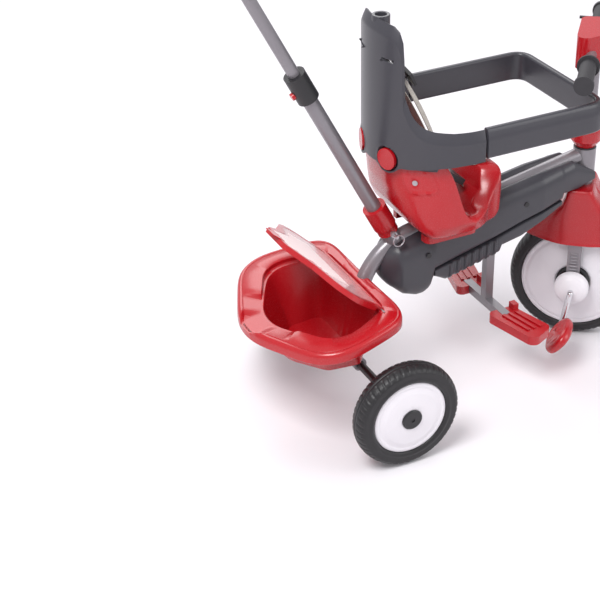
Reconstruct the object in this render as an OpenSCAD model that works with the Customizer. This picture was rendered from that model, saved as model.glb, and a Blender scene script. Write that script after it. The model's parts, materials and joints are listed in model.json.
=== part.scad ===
// Children's push tricycle with a storage bin, a parent handle and a safety bar.
// +X forward, +Y to the rider's left, +Z up, the ground at z = 0.

/* [Wheels] */
// Diameter of the rear tyres
rear_wheel_d = 204; // [196:1:212]
// Width of the rear tyres
rear_wheel_w = 46; // [40:1:50]
// Width over the rear tyres
track_w = 512; // [500:1:540]
// Diameter of the front tyre
front_wheel_d = 256; // [250:1:260]
// Distance from the rear axle to the steering axis
wheelbase = 517; // [505:1:530]

/* [Frame] */
// Diameter of the steel main tube
tube_d = 30; // [28:1:32]
// Diameter of the push handle's lower tube
handle_d = 28; // [26:1:29]
// Backward lean of the push handle, in degrees from vertical
handle_lean = 28; // [26:1:30]
// Height of the push handle's grip
handle_h = 985; // [960:1:1000]

/* [Pose] */
// Steering angle in the resting pose, in degrees, negative to the right
steer_deg = -40; // [-44:1:0]
// Lid opening in the resting pose, in degrees
lid_deg = 50; // [40:1:60]
// Crank angle in the resting pose, in degrees behind the bottom
crank_deg = 10; // [0:1:20]

/* [Seat and bin] */
// Half width of the seat shell
seat_half_w = 130; // [124:1:132]
// Half width of the bin's rim at its widest
bin_half_w = 198; // [190:1:202]
// Wall thickness of the moulded covers
wall = 3; // [2.5:0.5:3.5]

/* [Hidden] */
$fn = 64;
fit = 0.05;
// the box is centred on the origin by this shift of the rear axle
axle_shift = -194.5;
rear_r = rear_wheel_d / 2;
front_r = front_wheel_d / 2;
tube_r = tube_d / 2;
hr = handle_d / 2;
wheel_y = track_w / 2 - rear_wheel_w / 2;
// main tube: steep above the axle, one bend, then a gentle rise to the head tube
tube_foot = [26, 112];
tube_steep = 88;
tube_slope = 11;
tube_bend_r = 130;
tube_rise = 89;
bend_a = tube_foot + tube_rise * [cos(tube_steep), sin(tube_steep)];
bend_c = [bend_a.x + tube_bend_r * sin(tube_steep), bend_a.y - tube_bend_r * cos(tube_steep)];
bend_b = [bend_c.x - tube_bend_r * sin(tube_slope), bend_c.y + tube_bend_r * cos(tube_slope)];
function tube_z(x) = bend_b.y + (x - bend_b.x) * tan(tube_slope);
head_z = tube_z(wheelbase);
head_low = head_z - 45;
head_top = head_z + 14;
// push handle axis
handle_foot = [101.5, 0, 312];
handle_len = (handle_h - handle_foot.z) / cos(handle_lean);
clamp_s = 400;
// bin rim: slopes down to the rear from its front edge
rim_front = [38, 0, 256];
rim_slope = 9;
// the lid's hinge lies a little below the rim plane, near its front edge
hinge_in = 26;
hinge_x = rim_front.x - hinge_in * cos(rim_slope);
hinge_z = rim_front.z - hinge_in * sin(rim_slope) - 1;
// footrest
foot_x = 311;
foot_z = 124;
foot_pivot_z = 250;
// front wheel and crank
axle_half = 84;
crank_r = 60;
elbow_r = 6.4;
pedal_in = 99;
pedal_len = 92;

// ---------- helpers ----------

module place() translate([axle_shift, 0, 0]) children();

// round bar between two points
module bar(a, b, r) {
    d = b - a;
    translate(a) rotate([0, acos(d.z / norm(d)), atan2(d.y, d.x)]) cylinder(h = norm(d), r = r);
}

// outline in the XZ plane, given a thickness along Y from y0 to y1
module side_plate(points, y0, y1) {
    translate([0, y1, 0]) rotate([90, 0, 0]) linear_extrude(y1 - y0) polygon(points);
}

// follows the steering: origin on the ground under the steering axis, +X the wheel's forward
module steered() translate([wheelbase, 0, 0]) rotate([0, 0, steer_deg]) children();

// front axle line, with the z axis along the wheel's +Y
module on_front_axle() steered() translate([0, 0, front_r]) rotate([-90, 0, 0]) children();

// along the push handle: z runs up the handle from its foot
module on_handle() translate(handle_foot) rotate([0, -handle_lean, 0]) children();

// rim plane of the bin: x to the rear is negative, z is out of the plane
module on_rim() translate(rim_front) rotate([0, -rim_slope, 0]) translate([-rim_front.x, 0, 0]) children();

// ---------- frame ----------

module main_tube_path(r) {
    bar([tube_foot.x, 0, tube_foot.y], [bend_a.x, 0, bend_a.y], r);
    translate([bend_c.x, 0, bend_c.y]) rotate([90, 0, 0]) rotate([0, 0, 90 + tube_slope])
        rotate_extrude(angle = tube_steep - tube_slope) translate([tube_bend_r, 0]) circle(r);
    bar([bend_b.x, 0, bend_b.y], [wheelbase, 0, head_z], r);
}

module main_frame() color("#8e898e") difference() {
    union() {
        main_tube_path(tube_r);
        // axle housing at the foot of the tube
        translate([0, 0, rear_r]) rotate([90, 0, 0]) cylinder(h = 120, r = 13, center = true);
        // lug that joins the tube's foot to the axle housing
        side_plate([[-10, 96], [8, 92], [40, 108], [40, 160], [14, 160], [-10, 112]], -9, 9);
        // handle socket
        on_handle() cylinder(h = 62, r = hr + 4);
        // head tube
        translate([wheelbase, 0, head_low]) cylinder(h = head_top - head_low, r = 22);
        // seat bracket
        translate([150, -24, 340]) cube([100, 48, 6]);
        translate([152, -3, 320]) cube([90, 6, 24]);
    }
    translate([0, 0, rear_r]) rotate([90, 0, 0]) cylinder(h = 130, r = 8 + fit, center = true);
    on_handle() translate([0, 0, 16]) cylinder(h = 60, r = hr + fit);
    on_handle() translate([0, 0, pin_z]) rotate([90, 0, 0]) cylinder(h = 60, r = 3.2, center = true);
    translate([wheelbase, 0, head_low - 1]) cylinder(h = head_top - head_low + 2, r = 16);
}

module rear_axle() color("#4a4244") translate([0, 0, rear_r]) rotate([90, 0, 0])
    cylinder(h = track_w - 16, r = 8, center = true);

module axle_spacers() color("#55504f") for (s = [-1, 1])
    translate([0, s * (wheel_y - rear_wheel_w / 2 - 4), rear_r]) rotate([90, 0, 0]) difference() {
        cylinder(h = 6, r = 14, center = true);
        cylinder(h = 8, r = 8, center = true);
    }

// ---------- body covers ----------

// seam between the upper and the lower cover
seam_rear = [165, 254];
seam_front = [530, 350];
cover_half_w = 46;

cover_upper_outline = concat(
    [for (a = [100 : 12 : 244]) [104, 266] + 56 * [cos(a), 0.95 * sin(a)]],
    [[105, 205], [133, 197], [162, 195], seam_rear, [291, 286], [358, 307], [428, 325], seam_front,
    [530, 368], [475, 403], [314, 379], [165, 341]]);

cover_lower_outline = [seam_rear, [165, 236], [192, 219], [307, 247], [311, 262], [355, 270], [420, 302],
    [470, 325 + 42 * (seam_front.y - 325) / 102], [428, 325], [358, 307], [291, 286]];

// width of the cover in plan: full over the seat, narrow at the head tube
module cover_plan(inset) {
    linear_extrude(600) polygon([
        [40, -26 + inset], [62, -cover_half_w + inset], [400, -cover_half_w + inset], [528, -27 + inset],
        [528, 27 - inset], [400, cover_half_w - inset], [62, cover_half_w - inset], [40, 26 - inset]]);
}

module cover_shell(outline) {
    difference() {
        intersection() {
            side_plate(outline, -60, 60);
            cover_plan(0);
        }
        cover_plan(wall);
    }
}

module main_tube_clearance() main_tube_path(tube_r + fit);

module body_cover_upper() color("#4b4a50") difference() {
    union() {
        cover_shell(cover_upper_outline);
        // floor of the rear bulb and saddle ribs that clamp the tube
        intersection() {
            side_plate([[52, 262], [72, 232], [105, 205], [133, 197], [162, 195], [162, 199],
                [134, 201], [107, 209],
                [76, 235], [57, 264]], -60, 60);
            cover_plan(1);
        }
        // cross walls that carry the tube
        for (x = [180, 330, 440])
            side_plate([[x, tube_z(x) - 52], [x + 4, tube_z(x) - 52], [x + 4, tube_z(x) - 8],
                [x, tube_z(x) - 8]],
                1 - cover_half_w * 0.96, cover_half_w * 0.96 - 1);
    }
    main_tube_clearance();
    translate([wheelbase, 0, 200]) cylinder(h = 400, r = 22.4);
    steering_room();
}

// room for the fork's crown and the fender's top as they turn
module steering_room() translate([wheelbase, 0, 200]) cylinder(h = 340 - 200, r = 70);

module body_cover_lower() color("#45444a") difference() {
    union() {
        cover_shell(cover_lower_outline);
        for (s = [-1, 1]) for (i = [0 : 6]) {
            x = 196 + i * 16;
            z = 221 + i * 3.9;
            side_plate([[x, z], [x + 7, z + 1.7], [x + 7, z + 40], [x, z + 38]],
                min(s * (cover_half_w - 0.5), s * (cover_half_w + 3)),
                max(s * (cover_half_w - 0.5), s * (cover_half_w + 3)));
        }
        // cross walls that join the two sides
        side_plate([[200, 232], [204, 233], [204, 256], [200, 255]], -44, 44);
        side_plate([[400, 298], [404, 300], [404, 318], [400, 317]], -44, 44);
        // lugs for the footrest pin
        for (s = [-1, 1]) translate([foot_x, s > 0 ? 10 : -cover_half_w + 1, foot_pivot_z])
            rotate([-90, 0, 0]) cylinder(h = cover_half_w - 11, r = 10);
    }
    translate([foot_x, 0, foot_pivot_z]) rotate([90, 0, 0]) cylinder(h = 60, r = 5 + fit, center = true);
    steering_room();
}

module cover_screws() color("#3a393c") for (s = [-1, 1]) for (p = [[150, 290], [360, 345]])
    translate([p.x, s * (cover_half_w + 0.8), p.y]) rotate([90, 0, 0]) cylinder(h = 1.6, r = 5,
        center = true);

// ---------- footrest ----------

module footrest_pin() color("#77747a") translate([foot_x, 0, foot_pivot_z]) rotate([90, 0, 0])
    cylinder(h = 44, r = 5, center = true);

module footrest_frame() color("#8e898e") difference() {
    union() {
        translate([foot_x - 8.5, -8.5, foot_z + 5]) cube([17, 17, foot_pivot_z - foot_z - 5]);
        translate([foot_x, 0, foot_pivot_z]) rotate([90, 0, 0]) cylinder(h = 17, r = 8.5, center = true);
        translate([foot_x - 8.5, -74, foot_z - 8.5]) cube([17, 148, 17]);
    }
    translate([foot_x, 0, foot_pivot_z]) rotate([90, 0, 0]) cylinder(h = 60, r = 5 + fit, center = true);
}

module footrest_platform() {
    difference() {
        union() {
            translate([0, 0, foot_z - 10]) linear_extrude(18) hull() {
                translate([foot_x - 18, 63.5]) circle(12);
                translate([foot_x + 16, 63.5]) circle(12);
                translate([foot_x + 8, 154]) circle(16);
                translate([foot_x + 33, 142]) circle(16);
            }
            for (i = [0 : 2]) translate([foot_x - 12 + i * 14, 76, foot_z + 7]) rotate([0, 0, -12])
                cube([6, 70, 4]);
            translate([foot_x + 18, 52, foot_z]) cube([12, 16, 20]);
        }
        translate([foot_x - 9, 40, foot_z - 9]) cube([18, 34.5, 18]);
    }
}

module footrest_platform_left() color("#c41e2a") footrest_platform();
module footrest_platform_right() color("#c41e2a") mirror([0, 1, 0]) footrest_platform();

// ---------- seat ----------

seat_outer_outline = [[136, 342], [104, 372], [83, 404], [66, 448], [54, 491], [52, 524], [137, 512],
    [149, 490], [159, 469], [165, 449], [173, 426], [186, 409], [206, 402], [236, 401], [260, 416],
    [282, 446], [298, 438], [309, 402], [304, 357], [286, 342]];
seat_inner_outline = [[140, 376], [112, 392], [95, 412], [78, 450], [66, 492], [62, 560], [330, 560],
    [276, 470], [268, 440], [250, 404], [226, 382], [200, 376]];
// screws through the seat's rear sides, this far round from the back
screw_turn = 43;
screw_z = 472;
// the lower edge of each side tucks in towards the frame
seat_front_view = [[-131, 600], [-131, 384], [-112, 360], [-60, 341], [60, 341], [112, 360],
    [131, 384], [131, 600]];

// rounded back, full width at the hips, narrow at the pommel
module seat_plan(inset) {
    w = seat_half_w - inset;
    linear_extrude(600) union() {
        intersection() {
            translate([187, 0]) circle(w);
            translate([0, -200]) square([188, 400]);
        }
        polygon([[187, -w], [204, -w], [266, -62 + inset], [304 - inset, -52 + inset], [312 - inset, -30],
            [312 - inset, 30], [304 - inset, 52 - inset], [266, 62 - inset], [204, w], [187, w]]);
    }
}

module screw_axis(s) translate([187, 0, screw_z]) rotate([0, 0, s * (180 - screw_turn)]) rotate([0, 90, 0])
    children();

module seat_shell() color("#c41e2a") difference() {
    intersection() {
        side_plate(seat_outer_outline, -132, 132);
        seat_plan(0);
        rotate([90, 0, 90]) linear_extrude(400) polygon(seat_front_view);
    }
    intersection() {
        side_plate(seat_inner_outline, -132, 132);
        seat_plan(8);
    }
    // pommel falls away at both sides
    for (s = [-1, 1]) translate([236, 0, 0]) rotate([90, 0, 90]) linear_extrude(100)
        polygon([[s * 28, 480], [s * 28, 447], [s * 48, 431], [s * 64, 408], [s * 140, 402], [s * 140, 480]]);
    // hollow pommel, open underneath
    side_plate([[272, 300], [272, 395], [286, 434], [294, 430], [301, 400], [296, 350],
        [290, 300]], -36, 36);
    // saddle over the frame and its cover
    side_plate([[60, 200], [60, 346], [165, 346], [340, 390], [340, 200]], -cover_half_w - 1,
        cover_half_w + 1);
    main_tube_clearance();
    // recesses for the side screws
    for (s = [-1, 1]) screw_axis(s) translate([0, 0, 127]) cylinder(h = 8, r = 7);
}

module seat_base() color("#c9242f") difference() {
    translate([0, 0, 328]) linear_extrude(14) hull() {
        translate([146, 56]) circle(14);
        translate([226, 56]) circle(14);
        translate([146, -56]) circle(14);
        translate([226, -56]) circle(14);
    }
    translate([100, -cover_half_w - 1, 300]) cube([200, 2 * cover_half_w + 2, 60]);
}

module seat_screws() color("#b9b8bb") for (s = [-1, 1])
    screw_axis(s) translate([0, 0, 127]) cylinder(h = 2, r = 5);

// ---------- backrest and safety bar ----------

back_z0 = 497;
back_z1 = 760;
back_r = 146;
back_x = 196;
button_y = 47;
button_z = 510;
button_r = 20;
arm_z0 = 517;
arm_h = 56;
bar_front = 463;
tongue = 24;

// round back that runs on into straight sides
module back_plan(inset, x_end) {
    intersection() {
        translate([back_x, 0]) circle(back_r - inset);
        translate([0, -200]) square([min(back_x, x_end), 400]);
    }
    if (x_end > back_x)
        translate([back_x - 1, inset - back_r]) square([x_end - back_x + 1, 2 * (back_r - inset)]);
}

// points on the round back at a given distance off the centre line
function back_at(y, inset = 0) = back_x - sqrt(pow(back_r - inset, 2) - y * y);

module button_axis(s) translate([back_at(button_y), s * button_y, button_z])
    rotate([0, -90, -s * asin(button_y / back_r)]) children();

module backrest() color("#4b4a50") difference() {
    union() {
        difference() {
            translate([0, 0, back_z0]) linear_extrude(back_z1 - back_z0) back_plan(0, 200);
            translate([0, 0, back_z0 - 1]) linear_extrude(back_z1 - back_z0 + 2) back_plan(5, 240);
            // sides sweep down to the arms
            side_plate([[72, 800], [72, 631], [77.6, 609], [82, 597], [89.5, 586], [98.5, 579], [112, 575],
                [142, arm_z0 + arm_h], [400, arm_z0 + arm_h], [400, 800]], -160, 160);
            side_plate([[0, 480], [40, 494], [120, 510], [400, 517], [400, 480]], -160, 160);
        }
        // accessory socket on the back wall
        intersection() {
            translate([70, 0, 680]) cylinder(h = 80, r = 16);
            translate([0, 0, 600]) linear_extrude(200) back_plan(1, 200);
        }
        // ledge that rests against the back of the seat
        difference() {
            translate([0, 0, back_z0 + 2]) linear_extrude(16) back_plan(1, 120);
            seat_plan(0);
        }
        // sockets for the safety bar's tongues
        for (s = [-1, 1]) translate([168, s > 0 ? 126 : -142, arm_z0 + 2]) cube([32, 16, arm_h - 6]);
    }
    translate([70, 0, 700]) cylinder(h = 70, r = 10);
    for (s = [-1, 1]) translate([172, s > 0 ? 128.9 : -139.1, arm_z0 + 6.9]) cube([40, 10.2, arm_h - 13.8]);
    for (s = [-1, 1]) button_axis(s) translate([0, 0, -12]) cylinder(h = 40, r = button_r + 0.1);
    // slots that the shoulder straps run through
    for (s = [-1, 1]) translate([40, s * strap_top.y - 14, strap_top.z + 1]) cube([40, 28, 6]);
}

module release_button(s) button_axis(s) translate([0, 0, -4]) difference() {
    cylinder(h = 6, r = button_r);
    translate([0, 0, -1]) cylinder(h = 4.5, r = button_r - 3);
}

module release_button_left() color("#c41e2a") release_button(1);
module release_button_right() color("#c41e2a") release_button(-1);

// closed loop around the rider, plugged into the backrest's two sockets
module safety_bar() color("#4b4a50") union() {
    translate([0, 0, arm_z0]) linear_extrude(arm_h) difference() {
        hull() {
            translate([200.3, -back_r]) square([1, 2 * back_r]);
            translate([bar_front - 26, back_r - 26]) circle(26);
            translate([bar_front - 26, 26 - back_r]) circle(26);
        }
        hull() {
            translate([199, 19 - back_r]) square([1, 2 * back_r - 38]);
            translate([bar_front - 30, back_r - 31]) circle(12);
            translate([bar_front - 30, 31 - back_r]) circle(12);
        }
    }
    for (s = [-1, 1]) translate([201 - tongue, s > 0 ? 129 : -139, arm_z0 + 7]) cube([tongue, 10,
        arm_h - 14]);
}

// ---------- soft goods ----------

// the webbing's upper end rests on the back's inner wall, its lower end on the buckle
strap_top = [back_at(57, 5) + 1, 45, 690];
buckle_at = [205, 0, 432];
buckle_lean = 35;
strap_low = [buckle_at.x - 1 - (4 - 2.5 * sin(buckle_lean)) / cos(buckle_lean), 15, buckle_at.z + 2.5];
crotch_top = [buckle_at.x + 1 + (32 - 19 * sin(buckle_lean)) / cos(buckle_lean), 0, buckle_at.z - 20];
crotch_low = [240, 0, 382 + 15 * 22 / 24];

// flat webbing between two points, 24 mm wide along Y
module strap(a, b) hull() {
    translate(a - [1, 12, 0]) cube([2, 24, 1]);
    translate(b - [1, 12, 0]) cube([2, 24, 1]);
}

module harness_straps() color("#a39c92") {
    strap(strap_top, strap_low);
    strap([strap_top.x, -strap_top.y, strap_top.z], [strap_low.x, -strap_low.y, strap_low.z]);
    strap(crotch_top, crotch_low);
}

module harness_buckle() color("#1d1c1e") translate(buckle_at) rotate([0, buckle_lean, 0])
    translate([-4, -28, -6]) cube([36, 56, 12]);

module pommel_pad() color("#d8d4ce") translate([0, -26, 0]) side_plate([[262, 434], [270, 446], [281, 454],
    [296, 448], [300, 440], [282, 446], [271, 436]], 0, 52);

// ---------- storage bin and lid ----------

// direction of the outward normal of the line that touches two circles [x, y, r], taken counter-clockwise
function touch_dir(p, q) = atan2(q.y - p.y, q.x - p.x) - acos((p.z - q.z) / norm([q.x - p.x, q.y - p.y]));

// circles [x, y, r] grown by the same amount, none smaller than 3 mm
function grown(circles, grow) = [for (c = circles) [c.x, c.y, max(3, c.z + grow)]];

// outline drawn tightly around circles [x, y, r] listed counter-clockwise
function outline(circles) = [for (i = [0 : len(circles) - 1])
    let (n = len(circles))
    let (a = touch_dir(circles[(i + n - 1) % n], circles[i]))
    let (turn = (touch_dir(circles[i], circles[(i + 1) % n]) - a + 720) % 360)
    let (steps = ceil(turn / 10))
    for (k = [0 : steps]) [circles[i].x, circles[i].y]
        + circles[i].z * [cos(a + k * turn / steps), sin(a + k * turn / steps)]];

function around(circles, grow) = outline(grown(circles, grow));

bin_rim_circles = [[15, -146, 27], [15, 146, 27], [-84, bin_half_w - 78, 78], [-57, 0, 150],
    [-84, 78 - bin_half_w, 78]];
bin_opening_circles = [[-6, -102, 15], [-6, 102, 15], [-66, 86, 50], [-58, 0, 100], [-66, -86, 50]];
bin_floor_circles = [[-22, -76, 12], [-22, 76, 12], [-70, 66, 16], [-76, 0, 50], [-70, -66, 16]];
lid_circles = [[4, -104, 14], [4, 104, 14], [-66, 90, 54], [-98, 0, 66], [-66, -90, 54]];
lid_tail_circles = [[-120, -46, 30], [-120, 46, 30], [-174, 30, 14], [-174, -30, 14]];

module bin_rim_outline(grow) polygon(around(bin_rim_circles, grow));

bowl_floor = 124;
ledge = 9;

// tapered bowl, wider at the rim than at its floor
module bowl(grow, z0, z1) {
    hull() {
        translate([0, 0, z0]) linear_extrude(0.1) polygon(around(bin_floor_circles, grow));
        on_rim() translate([0, 0, z1]) linear_extrude(0.1) polygon(around(bin_opening_circles, grow));
    }
}

module storage_bin() color("#c41e2a") difference() {
    union() {
        // rim plate with a down-turned lip
        on_rim() difference() {
            translate([0, 0, -22]) linear_extrude(22) bin_rim_outline(0);
            difference() {
                translate([0, 0, -24]) linear_extrude(24 - wall) bin_rim_outline(-wall);
                translate([0, 0, -ledge - wall]) linear_extrude(ledge + wall) lid_outline(5);
            }
        }
        bowl(wall, bowl_floor, -ledge);
        // ears for the lid's hinge pins
        for (s = [-1, 1]) translate([hinge_x - 7, s > 0 ? 118 : -130, hinge_z - 12]) cube([14, 12, 14]);
    }
    bowl(0, bowl_floor + wall, 1);
    // recess that the lid closes into
    on_rim() translate([0, 0, -ledge]) linear_extrude(ledge + 4) lid_outline(2);
    // room for the frame tube and the lid's hinge barrel
    main_tube_clearance();
    translate([hinge_x, 0, hinge_z]) rotate([90, 0, 0]) cylinder(h = 236, r = 5.8, center = true);
    for (s = [-1, 1]) translate([hinge_x, s * 124, hinge_z]) rotate([90, 0, 0])
        cylinder(h = 16, r = 2 + fit, center = true);
}

// the closed lid's outline, in the rim plane
module lid_outline(grow) {
    polygon(around(lid_circles, grow));
    polygon(around(lid_tail_circles, grow));
}

// closed position of the lid turned open about its hinge
module on_lid() translate([hinge_x, 0, hinge_z]) rotate([0, lid_deg, 0]) translate([-hinge_x, 0, -hinge_z])
    on_rim() children();

module lid_frame() color("#c8232f") difference() {
    union() {
        on_lid() {
            translate([0, 0, -2]) linear_extrude(4) lid_outline(0);
            // down-turned edge, left off ahead of the hinge
            translate([0, 0, -8]) linear_extrude(8) difference() {
                lid_outline(0);
                lid_outline(-3);
                translate([-2, -200]) square([100, 400]);
            }
            translate([-206, -14, 0.4]) cube([30, 28, 2.2]);
        }
        translate([hinge_x, 0, hinge_z]) rotate([90, 0, 0]) cylinder(h = 235, r = 5, center = true);
    }
    on_lid() translate([0, 0, -20]) linear_extrude(40) lid_outline(-16);
    on_lid() translate([0, 0, 0]) linear_extrude(8) lid_outline(-12);
    translate([hinge_x, 0, hinge_z]) rotate([90, 0, 0]) cylinder(h = 260, r = 2 + fit, center = true);
}

module lid_window() color("#e7b9bb") difference() {
    on_lid() translate([0, 0, 0]) linear_extrude(1.6) lid_outline(-12.2);
    translate([hinge_x, 0, hinge_z]) rotate([90, 0, 0]) cylinder(h = 260, r = 5.3, center = true);
}

module lid_label() color("#ece4e2") on_lid() translate([0, 0, 1.6]) linear_extrude(0.6) intersection() {
    lid_outline(-20);
    translate([-200, -85]) square([145, 170]);
}

module lid_hinge_pins() color("#8c898d") for (s = [-1, 1])
    translate([hinge_x, s * 121, hinge_z]) rotate([90, 0, 0]) cylinder(h = 18, r = 2, center = true);

// ---------- push handle ----------

module handle_collar() color("#c41e2a") on_handle() difference() {
    union() {
        translate([0, 0, 44]) cylinder(h = 48, r = hr + 8);
        translate([0, 0, 28]) cylinder(h = 18, r = hr + 6);
    }
    translate([0, 0, 20]) cylinder(h = 42.2, r = hr + 4.1);
    translate([0, 0, 20]) cylinder(h = 100, r = hr + fit);
    translate([0, 0, pin_z]) rotate([90, 0, 0]) cylinder(h = 80, r = 3.2, center = true);
}

module handle_lower_tube() color("#8e898e") on_handle() difference() {
    translate([0, 0, 16.5]) cylinder(h = clamp_s - 16.5, r = hr);
    translate([0, 0, 10]) cylinder(h = clamp_s, r = hr - 2);
    translate([0, 0, pin_z]) rotate([90, 0, 0]) cylinder(h = 60, r = 3.2, center = true);
}

module handle_clamp() color("#3b3a3f") on_handle() difference() {
    translate([0, 0, clamp_s - 36]) cylinder(h = 56, r = hr + 6);
    translate([0, 0, clamp_s - 40]) cylinder(h = 40.2, r = hr + fit);
    translate([0, 0, clamp_s - 1]) cylinder(h = 40, r = hr - 2.9);
    translate([0, 0, clamp_s - 14]) rotate([0, -90, 0]) cylinder(h = 40, r = 7.1);
}

module height_button() color("#c41e2a") on_handle() translate([0, 0, clamp_s - 14]) rotate([0, -90, 0])
    translate([0, 0, hr + 3.6]) cylinder(h = 7, r = 7);

module handle_upper_tube() color("#8e898e") on_handle() union() {
    translate([0, 0, clamp_s - 160]) difference() {
        cylinder(h = handle_len - clamp_s + 160, r = hr - 2.95);
        translate([0, 0, -1]) cylinder(h = 200, r = hr - 5);
    }
}

grip_half_w = 105;

module handle_grip() color("#2b2a2d") on_handle() translate([0, 0, handle_len]) difference() {
    union() {
        rotate([90, 0, 0]) cylinder(h = 2 * grip_half_w, r = 17, center = true);
        for (s = [-1, 1]) translate([0, s * grip_half_w, 0]) sphere(17);
    }
    translate([0, 0, -40]) cylinder(h = 40 + 0.05, r = hr - 2.95 + fit);
}

pin_z = 34;

module locking_pin() color("#d8d7da") on_handle() difference() {
    union() {
        translate([0, -42, pin_z]) rotate([-90, 0, 0]) cylinder(h = 68, r = 3.1);
        translate([0, -26, pin_z]) rotate([90, 0, 0]) cylinder(h = 4, r = 6);
    }
    translate([0, -38, pin_z - 0.2]) rotate([0, 90, 0]) cylinder(h = 20, r = 1.8, center = true);
}

module pin_ring() color("#d8d7da") on_handle() translate([0, -38, pin_z - 10.75]) rotate([90, 0, 0])
    rotate_extrude() translate([11, 0]) circle(1.3);

// ---------- rear wheels ----------

module rear_wheel_at(s) translate([0, s * wheel_y, rear_r]) rotate([-90 * s, 0, 0]) children();

module rear_tyre() color("#2a282a") rotate_extrude() polygon(concat(
    [[72, -19], [72, 19], [76, rear_wheel_w / 2 - 1], [90, rear_wheel_w / 2], [97, rear_wheel_w / 2 - 3]],
    [[rear_r - 1, rear_wheel_w / 2 - 9], [rear_r, 8], [rear_r, -8], [rear_r - 1, 9 - rear_wheel_w / 2],
    [97, 3 - rear_wheel_w / 2], [90, -rear_wheel_w / 2], [76, 1 - rear_wheel_w / 2]]));

module rear_wheel_disc() color("#e9e6ea") rotate_extrude()
    polygon([[11, -21], [20, -21], [22, -12], [60, -12], [66, -19], [72, -19], [72, 19], [66, 21],
        [30, 24.5], [20, 24.5],
        [11, 17]]);

module rear_bush() color("#d9d6cf") rotate_extrude() polygon([[8 + fit, -21], [11, -21], [11, 17],
    [8 + fit, 17]]);

module hub_cap() color("#232224") rotate_extrude()
    polygon([[0, 20], [10.9, 20], [10.9, 24.6], [19.5, 24.6], [19.5, 26], [17, 28], [4, 28],
        [4, 26.5], [0, 26.5]]);

module rear_tyre_left() rear_wheel_at(1) rear_tyre();
module rear_wheel_disc_left() rear_wheel_at(1) rear_wheel_disc();
module rear_bush_left() rear_wheel_at(1) rear_bush();
module hub_cap_left() rear_wheel_at(1) hub_cap();
module rear_tyre_right() rear_wheel_at(-1) rear_tyre();
module rear_wheel_disc_right() rear_wheel_at(-1) rear_wheel_disc();
module rear_bush_right() rear_wheel_at(-1) rear_bush();
module hub_cap_right() rear_wheel_at(-1) hub_cap();

// ---------- front wheel, crank and pedals ----------

front_disc_r = 104;

module front_tyre() color("#2a282a") on_front_axle() rotate_extrude() polygon([[front_disc_r, -20],
    [front_disc_r, 20],
    [front_disc_r + 5, 23], [front_disc_r + 16, 23], [front_r - 2, 15], [front_r, 6], [front_r, -6],
    [front_r - 2, -15], [front_disc_r + 16, -23], [front_disc_r + 5, -23]]);

module front_wheel_disc() color("#e9e6ea") on_front_axle() rotate_extrude()
    polygon([[6 + fit, -26], [34, -26], [36, -31], [60, -28], [98, -22], [front_disc_r, -20],
        [front_disc_r, 20], [98, 22],
        [60, 28], [36, 31], [34, 26], [6 + fit, 26]]);

module clutch_rings() color("#1f1e20") on_front_axle() for (s = [-1, 1]) mirror([0, 0, s > 0 ? 0 : 1])
    rotate_extrude()
    polygon([[6 + fit, 26], [33.5, 26], [33.5, 30], [29, 33], [6 + fit, 33]]);

module crank() color("#d5d3d8") steered() translate([0, 0, front_r]) rotate([0, crank_deg, 0]) {
    rotate([90, 0, 0]) cylinder(h = 2 * axle_half, r = 6, center = true);
    for (s = [-1, 1]) {
        bar([0, s * (axle_half - 1), 0], [0, s * (axle_half + 8), s * crank_r], 6);
        translate([0, s * (axle_half + 8), s * crank_r]) sphere(elbow_r);
        translate([0, s * (axle_half - 1), 0]) sphere(elbow_r);
        bar([0, s * (axle_half + 8), s * crank_r], [0, s * (pedal_in + pedal_len - 6), s * crank_r], 6);
    }
}

module pedal(s) steered() translate([0, 0, front_r]) rotate([0, crank_deg, 0]) translate([0, 0,
    s * crank_r])
    rotate([0, -crank_deg - 50, 0]) difference() {
        translate([0, s * (pedal_in + pedal_len / 2), 0]) intersection() {
            linear_extrude(26, center = true)
                polygon([[-16, -46], [16, -46], [33, -18], [33, 18], [14, 46], [-14, 46], [-33, 18],
                    [-33, -18]]);
            rotate([90, 0, 0]) linear_extrude(100, center = true)
                polygon([[-33, -5], [-18, -13], [18, -13], [33, -5], [33, 5], [18, 13], [-18, 13],
                    [-33, 5]]);
        }
        rotate([90, 0, 0]) cylinder(h = 2 * (pedal_in + pedal_len - 5), r = 6 + fit, center = true);
    }

module pedal_left() color("#d01f28") pedal(1);
module pedal_right() color("#d01f28") pedal(-1);

// ---------- fork, fender and steering ----------

leg_in = 38;
leg_t = 12;
crown_z = head_low - 3.5;
crown_top = crown_z - 18;

module fork() color("#8e898e") steered() difference() {
    union() {
        for (s = [-1, 1]) {
            translate([-13, s > 0 ? leg_in : -leg_in - leg_t, front_r]) cube([26, leg_t,
                crown_top - front_r - 4]);
            translate([0, s > 0 ? leg_in : -leg_in - leg_t, front_r]) rotate([-90, 0, 0])
                cylinder(h = leg_t, r = 13);
            for (i = [0 : 3]) translate([-9, s > 0 ? leg_in + leg_t - 0.5 : -leg_in - leg_t - 1.5,
                front_r + 22 + i * 8])
                cube([18, 2, 3]);
        }
        translate([-16, -leg_in - leg_t, crown_top - 22]) cube([32, 2 * (leg_in + leg_t), 22]);
        translate([0, 0, crown_top - 1]) cylinder(h = crown_z - crown_top + 1, r = 20);
        translate([0, 0, crown_z - 1]) cylinder(h = 180, r = 12);
    }
    translate([0, 0, front_r]) rotate([90, 0, 0]) cylinder(h = 140, r = 6 + fit, center = true);
    translate([0, 0, crown_z + 20]) cylinder(h = 180, r = 9.5);
}

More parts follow.
